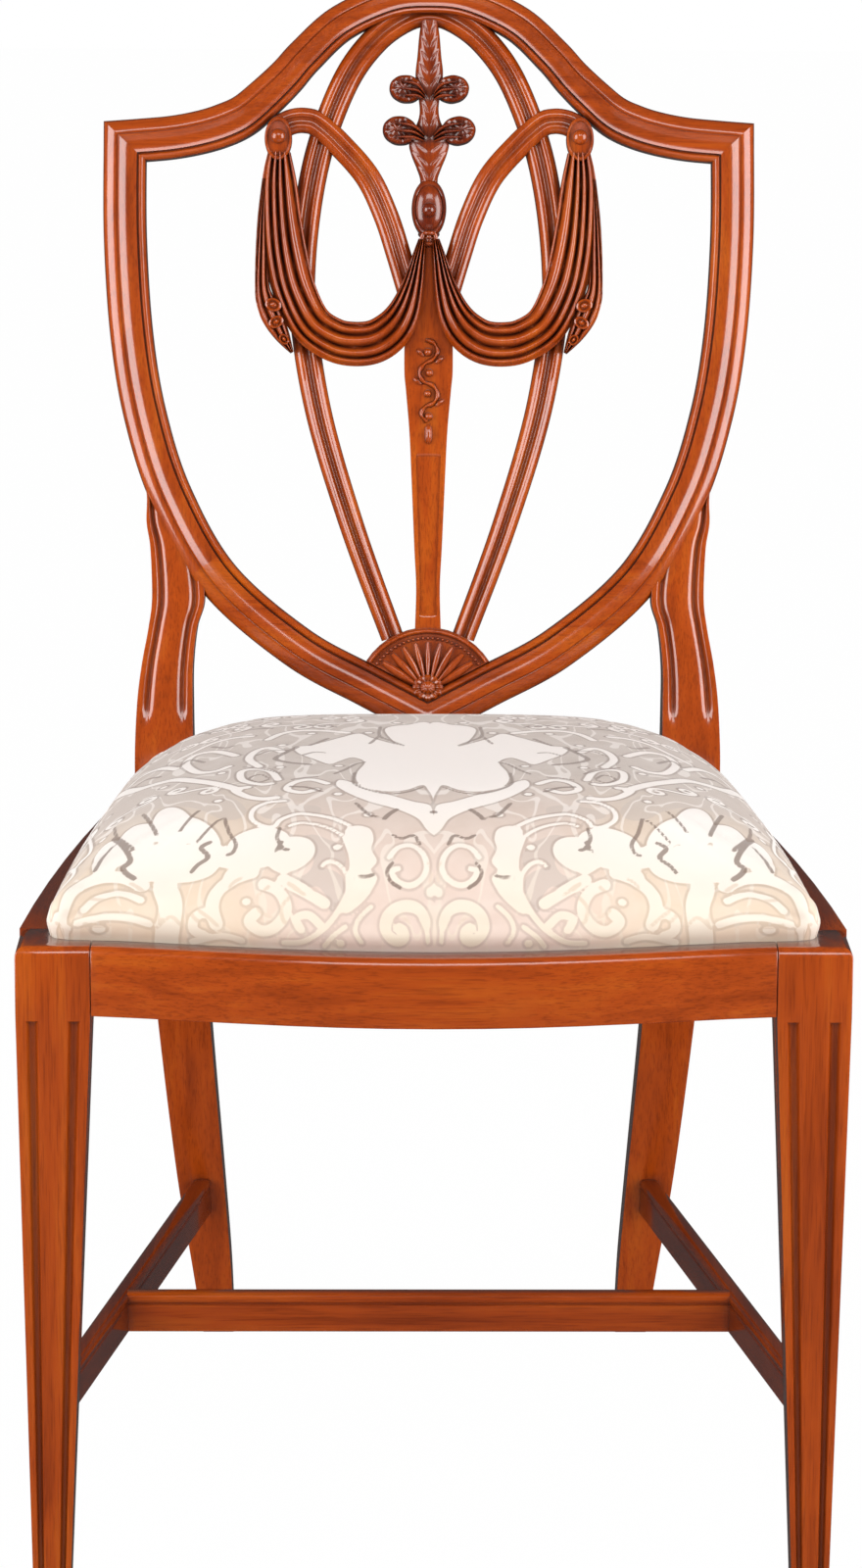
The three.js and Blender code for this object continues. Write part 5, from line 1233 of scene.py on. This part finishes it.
# The webbing: six ribbed jute straps, three each way, that pass over and under one another.
strap_half, strap_thick, strap_middle, strap_weave = 24.5, 1.5, 432.3, 1.15
strap_ends = {
    "lengthwise": ((-233, 152.6),) * 3,
    "crosswise": ((-212.8, 212.8), (-202.8, 202.8), (-188.5, 188.5)),
}
strap_places = {"lengthwise": (-100.8, 0, 100.8), "crosswise": (-162.8, -48.4, 66.1)}
strap_steps, pass_reach = 90, 34
strap_across = np.linspace(-1, 1, 25)
strap_rib = strap_thick / 2 - 0.25 + 0.22 * np.abs(np.cos(strap_across * 6 * np.pi))
strap_section = np.vstack([
    np.column_stack([strap_across * strap_half, strap_rib]),
    np.column_stack([-strap_across * strap_half, -strap_rib]),
])
for way, other, over in (("lengthwise", "crosswise", 1), ("crosswise", "lengthwise", -1)):
    for n, (place, ends) in enumerate(zip(strap_places[way], strap_ends[way])):
        rings = []
        for t in np.linspace(*ends, strap_steps):
            passes = [
                (-1) ** (n + k) * math.exp(-(((t - middle) / pass_reach) ** 4))
                for k, middle in enumerate(strap_places[other])
            ]
            height = strap_middle + strap_weave * sum(passes) * over
            aside = place + strap_section[:, :1]
            columns = (aside, np.full_like(aside, t))[::over]
            rings.append(np.hstack([*columns, height + strap_section[:, 1:]]) / 1000)
        strap = skinned(f"strap_{way}_{n + 1}", rings, sharp=50)
        settle(strap, jute, f"webbing_{way}_{n + 1}", body="seat", slot="jute")

# The damask's figure is drawn on the cloth: broad ivory shapes with a dark outline on a silver-taupe ground,
# alike on both sides of the middle. Each place is read on the picture and carried to the cloth under it.
picture_half = (440, 800)
crown_foot, front_foot, front_wall = 0.438, 0.4235, -0.2
out_of_sight = 1e9
focal = camera_lens / camera_film * 2 * picture_half[1]
mesh = cushion.data
spots = read_rows(mesh.vertices, "co")
facing = read_rows(mesh.vertices, "normal")
cloth = read_rows(mesh.attributes["cloth"].data, "vector")[:, :2]
seen_from = (spots - camera_place) @ np.array(Euler(camera_turn).to_matrix())
pixels = picture_half + focal * seen_from[:, :2] / seen_from[:, 2:] * (-1, 1)
shows = ((spots - camera_place) * facing).sum(1) < 0
on_front = (spots[:, 2] > front_foot) & (spots[:, 1] < front_wall) & (facing[:, 1] < 0)
shows &= (spots[:, 2] > crown_foot) | on_front


def on_cloth(points):
    """The places of the cloth that lie under places of the picture, on the right half."""
    found = []
    for place in points:
        far = np.where(shows, np.hypot(*(pixels - place).T), out_of_sight)
        nearest = np.argsort(far)[:4]
        weight = 1 / (far[nearest] + 0.3)
        found.append((cloth[nearest] * weight[:, None]).sum(0) / weight.sum())
    return np.array(found)


# Closed shapes of the figure, each by its outline, and ovals by their middle, reach and tilt.
ivory_shapes = (
    ((436, 742), (462, 740), (486, 744), (478, 757), (467, 762), (484, 758), (500, 753), (512, 749),
     (530, 752), (545, 757), (562, 761), (579, 763), (576, 769), (560, 775), (546, 780), (534, 777),
     (522, 773), (509, 778), (518, 788), (520, 797), (509, 804), (488, 808), (468, 806), (452, 801),
     (446, 808), (436, 818)),
    ((436, 840), (443, 832), (447, 822), (462, 818), (484, 812), (508, 806), (524, 799), (537, 796),
     (541, 802), (528, 810), (508, 818), (486, 824), (472, 828), (458, 836), (450, 846), (442, 852),
     (436, 852)),
    ((508, 846), (522, 843), (533, 848), (529, 864), (524, 880), (524, 896), (531, 913), (540, 929),
     (532, 932), (518, 920), (507, 907), (502, 896), (508, 888), (502, 878), (507, 867), (505, 856)),
    ((436, 902), (440, 896), (444, 903), (452, 908), (449, 916), (443, 914), (440, 922), (436, 922)),
    ((455, 925), (468, 918), (484, 921), (497, 933), (499, 948), (492, 961), (480, 966), (470, 960),
     (471, 948), (480, 942), (486, 948), (480, 955), (488, 950), (486, 938), (476, 931), (464, 932),
     (456, 940), (450, 952), (448, 938)),
)
ivory_ovals = (
    (590, 872, 26, 17, -20), (622, 866, 34, 20, -14), (682, 852, 25, 13, 34), (708, 846, 21, 21, 0),
    (744, 858, 22, 13, -32), (774, 878, 22, 12, -52), (655, 876, 22, 11, 10), (712, 882, 50, 20, 0),
    (785, 949, 7, 4, 0), (640, 890, 20, 8, -25),
)
# Lines of the figure: half its width in mm, then its places.
ivory_lines = (
    (1.5, ((489, 875), (480, 865), (467, 863), (455, 871), (451, 884), (457, 896), (469, 903), (481, 900),
           (487, 890), (480, 887))),
    (1.5, ((534, 856), (528, 872), (527, 888), (530, 905), (537, 922), (547, 938), (560, 951), (578, 961),
           (597, 963))),
    (1.1, ((531, 908), (533, 893), (541, 882), (551, 879), (558, 884))),
    (1.3, ((529, 843), (545, 836), (563, 832), (582, 831), (598, 837), (606, 844), (618, 843), (628, 836),
           (626, 826), (612, 820), (594, 818))),
    (1.0, ((534, 855), (545, 847), (560, 842), (578, 840), (590, 843))),
    (1.3, ((640, 807), (660, 801), (682, 798), (702, 797), (722, 801), (742, 808), (760, 816), (778, 828),
           (792, 842), (806, 862))),
    (1.0, ((602, 815), (618, 816), (634, 813), (643, 807), (630, 804))),
    (1.0, ((526, 748), (548, 746), (572, 746), (592, 749), (606, 755))),
    (1.0, ((592, 768), (606, 764), (620, 768), (626, 776), (618, 783))),
    (0.9, ((600, 796), (606, 788), (622, 785), (636, 788), (634, 797), (618, 801), (606, 800))),
    (0.9, ((549, 800), (566, 796), (584, 799), (590, 806), (576, 809), (560, 806))),
    (1.0, ((640, 772), (660, 768), (680, 772), (690, 781), (680, 789), (662, 788), (648, 783))),
    (0.9, ((700, 786), (716, 786), (734, 794), (746, 804))),
    (1.0, ((792, 853), (790, 866), (800, 880), (812, 893), (822, 905))),
    (0.9, ((622, 752), (642, 754), (662, 760), (684, 770), (704, 780))),
    (1.2, ((458, 938), (452, 950), (450, 962))),
    (1.2, ((508, 925), (520, 937), (524, 950), (518, 962))),
    (1.3, ((535, 946), (548, 956), (556, 966))),
    (3.6, ((628, 891), (648, 897), (664, 910), (670, 926), (666, 944))),
    (3.0, ((618, 902), (602, 911), (595, 928), (604, 945), (620, 951), (632, 941), (626, 933))),
    (6.5, ((713, 890), (717, 906), (712, 928), (716, 962))),
    (3.4, ((740, 906), (760, 897), (788, 898), (811, 911), (822, 936), (818, 956))),
    (2.0, ((734, 944), (757, 938), (785, 938), (807, 944))),
    (2.6, ((664, 942), (676, 932), (688, 938), (688, 950), (678, 955))),
    (3.2, ((556, 922), (576, 911), (598, 898))),
    (2.0, ((742, 920), (764, 913), (786, 918), (800, 930))),
    (2.2, ((560, 944), (572, 934), (584, 938), (580, 950))),
    (1.8, ((640, 960), (660, 956), (690, 962))),
)
dark_lines = (
    (1.3, ((490, 742), (492, 751), (481, 756), (468, 761))), (1.2, ((492, 751), (503, 759))),
    (1.4, ((508, 778), (518, 780), (530, 786), (541, 790))),
    (1.1, ((520, 789), (523, 799), (509, 806), (488, 810), (468, 808), (453, 803))),
    (1.6, ((545, 754), (555, 758), (564, 761))),
    (2.4, ((577, 763), (590, 769), (600, 775), (586, 779), (566, 780))),
    (1.1, ((590, 766), (606, 767), (618, 772))), (1.1, ((596, 790), (610, 786), (632, 784))),
    (1.0, ((608, 795), (617, 791), (629, 795), (620, 799), (609, 796))),
    (1.2, ((558, 793), (572, 794), (586, 796))),
    (1.6, ((556, 808), (570, 804), (588, 803))), (2.0, ((480, 826), (488, 831), (493, 836))),
    (1.4, ((500, 834), (510, 831), (521, 820))), (2.2, ((438, 828), (444, 829))),
    (1.2, ((600, 846), (603, 856), (598, 866), (592, 868))), (1.2, ((598, 860), (605, 869))),
    (1.3, ((681, 828), (690, 836), (701, 849))), (1.5, ((738, 832), (730, 842), (725, 853))),
    (1.0, ((662, 838), (672, 847), (684, 860))), (1.2, ((766, 846), (764, 856), (748, 868))),
    (1.3, ((656, 836), (651, 850), (645, 862), (648, 870), (653, 873))),
    (1.7, ((671, 860), (680, 866), (673, 876), (684, 884), (690, 891))),
    (2.0, ((768, 858), (756, 870), (752, 880), (760, 887), (748, 898))),
    (1.7, ((770, 866), (780, 877), (788, 890))),
    (2.4, ((812, 880), (822, 897), (829, 912))), (1.2, ((458, 862), (464, 853), (476, 856), (484, 852))),
    (1.1, ((505, 893), (512, 895), (520, 894))), (1.1, ((486, 880), (492, 890), (488, 900), (478, 906))),
    (1.6, ((600, 744), (616, 745), (630, 747))), (1.4, ((536, 742), (552, 741), (570, 742))),
    (1.6, ((640, 762), (650, 764), (662, 763))), (1.5, ((672, 779), (686, 777), (694, 782))),
    (1.6, ((716, 794), (730, 797), (740, 803))), (1.4, ((694, 760), (704, 766), (716, 772))),
    (1.2, ((548, 769), (560, 768), (572, 771))), (1.3, ((650, 746), (664, 749), (676, 753))),
)
# Leaves in a darker satin, and fine lines drawn on the ivory.
shade_shapes = (
    ((552, 857), (566, 852), (577, 856), (568, 866), (566, 880), (572, 892), (586, 898), (574, 905),
     (562, 904), (553, 915), (549, 932), (540, 920), (536, 905), (540, 893), (552, 887), (560, 886),
     (556, 878), (545, 876), (536, 886), (534, 874), (541, 862)),
    ((560, 824), (580, 822), (604, 826), (618, 832), (606, 836), (580, 829), (560, 830)),
    ((654, 812), (690, 806), (724, 808), (752, 820), (774, 838), (766, 842), (740, 832), (720, 826),
     (700, 824), (676, 828), (660, 836), (642, 836), (634, 826)),
)
fine_lines = (
    (0.8, ((723, 942), (728, 926), (738, 912), (752, 902))),
    (0.8, ((690, 908), (694, 922), (690, 936), (680, 944))),
    (0.8, ((612, 905), (624, 916), (622, 930), (610, 936))), (0.8, ((640, 896), (652, 906), (650, 922))),
    (0.9, ((590, 915), (600, 926), (598, 940), (588, 946))), (0.8, ((760, 930), (776, 920), (796, 918))),
    (0.8, ((700, 946), (712, 936), (726, 948))), (0.8, ((664, 946), (674, 936), (684, 930))),
    (0.8, ((468, 942), (474, 938), (482, 941))), (0.8, ((450, 880), (446, 890), (448, 900))),
    (0.8, ((742, 952), (760, 944), (780, 946), (800, 944))), (0.9, ((576, 914), (584, 908), (592, 902))),
)


def line_gap(points, places):
    """How far each point lies from a line through the places."""
    gap = np.full(len(points), 1e6)
    for start, stop in zip(places[:-1], places[1:]):
        run = stop - start
        share = np.clip(((points - start) @ run) / max(run @ run, 1e-9), 0, 1)
        gap = np.minimum(gap, np.hypot(*(points - start - share[:, None] * run).T))
    return gap


def shape_gap(points, places):
    """How far each point lies outside a closed shape, and less than zero inside it."""
    closed = np.vstack([places, places[:1]])
    odd = np.zeros(len(points), bool)
    for start, stop in zip(closed[:-1], closed[1:]):
        crosses = (start[1] > points[:, 1]) != (stop[1] > points[:, 1])
        reach = (stop[0] - start[0]) * (points[:, 1] - start[1]) / ((stop[1] - start[1]) or 1e-9) + start[0]
        odd ^= crosses & (points[:, 0] < reach)
    return np.where(odd, -1, 1) * line_gap(points, closed)


def rounded_off(places, closed):
    """A smooth line through the places, closed or open."""
    ends = np.vstack([places[-1:], places, places[:2]]) if closed else places
    line = through(ends, 8 * len(ends), even=False)
    return line[8:-8] if closed else line


# The figure is alike on both sides of the middle, and it comes again mirrored past these lines of the cloth.
folded_cloth = np.stack([np.abs(cloth[:, 0]), cloth[:, 1]], -1)
gap_limit = 14
side_fold, side_fold_near = 173, 125
rear_fold, rear_fold_near = 447, 370


def drawn(shapes, lines, on_sheet=()):
    """The gap of every point of the cloth from the nearest of the shapes and lines.

    Shapes and lines are read on the picture, and the lines on_sheet lie on the cloth itself.
    """
    gap = np.full(len(folded_cloth), float(gap_limit))
    work = [(on_cloth(places), None) for places in shapes]
    work += [(on_cloth(places), half) for half, places in lines]
    work += [(places, half) for half, places in on_sheet]
    for places, half in work:
        copies = [places]
        if places[:, 0].max() < side_fold_near:
            copies.append(places * (-1, 1) + (2 * side_fold, 0))
        if places[:, 1].min() > rear_fold_near:
            copies.append(places * (1, -1) + (0, 2 * rear_fold))
        for copy in copies:
            line = rounded_off(copy, half is None)
            low, high = line.min(0) - gap_limit, line.max(0) + gap_limit
            near = np.all((folded_cloth > low) & (folded_cloth < high), 1)
            if near.any():
                points = folded_cloth[near]
                found = shape_gap(points, line) if half is None else line_gap(points, line) - half
                gap[near] = np.minimum(gap[near], found)
    return gap


def oval(x, y, wide, tall, tilt):
    """The outline of an oval of the picture."""
    angles = np.linspace(0, 2 * np.pi, 14, endpoint=False)
    turn = math.radians(tilt)
    outline = np.stack([wide * np.cos(angles), tall * np.sin(angles)], -1)
    turned_by = np.array(((math.cos(turn), -math.sin(turn)), (math.sin(turn), math.cos(turn))))
    return outline @ turned_by + (x, y)


scroll_size, scroll_half, scroll_turns = 20, 1.5, 2.1
scroll_step_x, scroll_step_y, scroll_shift = 38, 33, 19
scroll_room, dot_room, dot_half = 8, 5, 2.4


def scroll_on(x, y, hand):
    """An S scroll on the cloth: a line whose curve tightens evenly towards both ends."""
    marks = np.linspace(-scroll_turns, scroll_turns, 64)
    bend = np.pi / 2 * marks**2
    line = np.stack([np.cumsum(np.cos(bend)), np.cumsum(np.sin(bend))], -1) * (marks[1] - marks[0])
    return (line - line[len(line) // 2]) * scroll_size * (hand, 1) + (x, y)


# Lines at the back of the seat are seen at a low angle, so they are wider than they look.
far_limit = 832
far_width_share, near_width_share, dark_width_share = 2.6, 1.15, 0.6
figure_lines = [
    (half * (far_width_share if np.mean(places, 0)[1] < far_limit else near_width_share), places)
    for half, places in ivory_lines
]
figure_shapes = ivory_shapes + tuple(oval(*row) for row in ivory_ovals)
figure_gap = drawn(figure_shapes, figure_lines)
scrolls, dots = [], []
for row, y in enumerate(np.arange(-30, 500, scroll_step_y)):
    for n, x in enumerate(np.arange(22 + scroll_shift * (row % 2), 292, scroll_step_x)):
        hand = -1 if (row + n) % 2 else 1
        lean = np.array((0.5 * hand * scroll_size, 10))
        tried = [lean * share + (x, y) for share in (0, 1, -1)]
        near = [int(np.argmin(np.hypot(*(folded_cloth - spot).T))) for spot in tried]
        if figure_gap[near].min() > scroll_room:
            scrolls.append((scroll_half, scroll_on(x, y, hand)))
        elif figure_gap[near[0]] > dot_room:
            dots.append((dot_half, np.array([(x, y), (x + 0.5, y)])))
for name, shapes, lines, on_sheet in (
    ("ivory", figure_shapes, figure_lines, scrolls + dots),
    ("dark", (), [(half * dark_width_share, places) for half, places in dark_lines], ()),
    ("shade", shade_shapes, (), ()),
    ("fine", (), fine_lines, ()),
):
    mesh.attributes.new(name, "FLOAT", "POINT").data.foreach_set("value", drawn(shapes, lines, on_sheet))

# Silk and cotton damask: satin figure on a matt ground, woven with ten pairs of threads to the centimetre.
ivory_silk = (0.775, 0.715, 0.675, 1)
cream_silk = (0.635, 0.54, 0.42, 1)
taupe_ground = (0.37, 0.295, 0.25, 1)
pink_ground = (0.58, 0.435, 0.36, 1)
beige_ground = (0.60, 0.455, 0.32, 1)
dark_thread = (0.17, 0.115, 0.09, 1)
shade_satin = (0.46, 0.385, 0.34, 1)
fine_thread = (0.52, 0.39, 0.28, 1)
satin_rough, matt_rough = 0.5, 0.82
weave, weave_in, weave_out = new_group(
    "damask_weave", (("Cloth", "NodeSocketVector"),),
    (("Jitter", "NodeSocketFloat"), ("Height", "NodeSocketFloat"), ("Mottle", "NodeSocketFloat"),
     ("Curls", "NodeSocketFloat")),
)
woven = woven_threads(weave, weave_in["Cloth"], 2 * math.pi)
parts = new_node(weave, "ShaderNodeSeparateXYZ", {"Vector": weave_in["Cloth"]}).outputs
halved = {"X": math_node(weave, "ABSOLUTE", parts["X"]), "Y": times(weave, parts["Y"], 0.42)}
halved = new_node(weave, "ShaderNodeCombineXYZ", halved).outputs["Vector"]
curls = math_node(weave, "SUBTRACT", noise_node(weave, halved, 0.044, 0.6, 0.4, 1.1), 0.5)
wired(weave_out, {
    "Jitter": times(weave, woven, 0.18),
    "Height": math_node(weave, "MULTIPLY_ADD", woven, 0.5, 0.5),
    "Mottle": noise_node(weave, weave_in["Cloth"], 0.045, 4, 0.6),
    "Curls": math_node(weave, "ABSOLUTE", curls),
})
damask, tree, shader = new_material("damask")
cloth_place = new_node(tree, "ShaderNodeAttribute", attribute_name="cloth").outputs["Vector"]
weave_node = new_node(tree, "ShaderNodeGroup", node_tree=weave)
threads = wired(weave_node, {"Cloth": cloth_place}).outputs


def mask(name, low, high):
    """One where the named gap is below low, and zero where it is above high."""
    gap = new_node(tree, "ShaderNodeAttribute", attribute_name=name).outputs["Fac"]
    return smooth_step(tree, math_node(tree, "ADD", gap, threads["Jitter"]), high, low)


def overlaid(mask_value, share, under, over):
    """A colour with another laid over it where the mask is, at a share of its strength."""
    return mixed_colour(tree, times(tree, mask_value, share), under, over)


along = new_node(tree, "ShaderNodeSeparateXYZ", {"Vector": cloth_place}).outputs
low_front = smooth_step(tree, along["Y"], 170, -10)
off_middle = smooth_step(tree, math_node(tree, "ABSOLUTE", along["X"]), 70, 140)
low_ground = mixed_colour(tree, off_middle, pink_ground, beige_ground)
tone = mixed_colour(tree, low_front, taupe_ground, low_ground)
tone = overlaid(threads["Mottle"], 0.4, tone, ivory_silk)
figure_tone = mixed_colour(tree, smooth_step(tree, along["Y"], 105, -60), ivory_silk, cream_silk)
figure_tone = overlaid(mask("fine", 0, 0.8), 0.5, figure_tone, fine_thread)
in_figure = mask("ivory", -0.25, 0.35)
outline = math_node(tree, "SUBTRACT", mask("ivory", 1.2, 2.4), in_figure, clamp=True)
fade = math_node(tree, "SUBTRACT", 1, times(tree, low_front, 0.6))
tone = overlaid(mask("shade", 0, 0.7), 0.65, tone, shade_satin)
# Fine tendrils in ivory thread run through the ground.
tone = overlaid(smooth_step(tree, threads["Curls"], 0.034, 0.022), 0.5, tone, figure_tone)
tone = overlaid(outline, times(tree, times(tree, threads["Mottle"], 1.1), fade), tone, dark_thread)
tone = mixed_colour(tree, in_figure, tone, figure_tone)
tone = overlaid(mask("dark", 0.2, 0.9), 0.8, tone, dark_thread)
# Each thread is painted darker where it dips under the next: painted shade between the threads.
thread_shade = math_node(tree, "MULTIPLY_ADD", threads["Height"], 0.12, 0.92)
thread_shade = dict.fromkeys(("Red", "Green", "Blue"), thread_shade)
thread_shade_tone = new_node(tree, "ShaderNodeCombineColor", thread_shade).outputs["Color"]
shine = {"Value": in_figure, "To Min": matt_rough, "To Max": satin_rough}
wired(shader, {
    "Base Color": mixed_colour(tree, 1.0, tone, thread_shade_tone, "MULTIPLY"),
    "Roughness": new_node(tree, "ShaderNodeMapRange", shine).outputs["Result"],
    "Sheen Weight": 0.25,
    "Sheen Roughness": 0.4,
    "Specular IOR Level": 0.35,
})
bumped(tree, shader, math_node(tree, "MULTIPLY_ADD", in_figure, 1.2, threads["Height"]), 0.35, 0.00025)
settle(cushion, damask, "seat_cover", "seat_pad", body="seat", slot="damask")
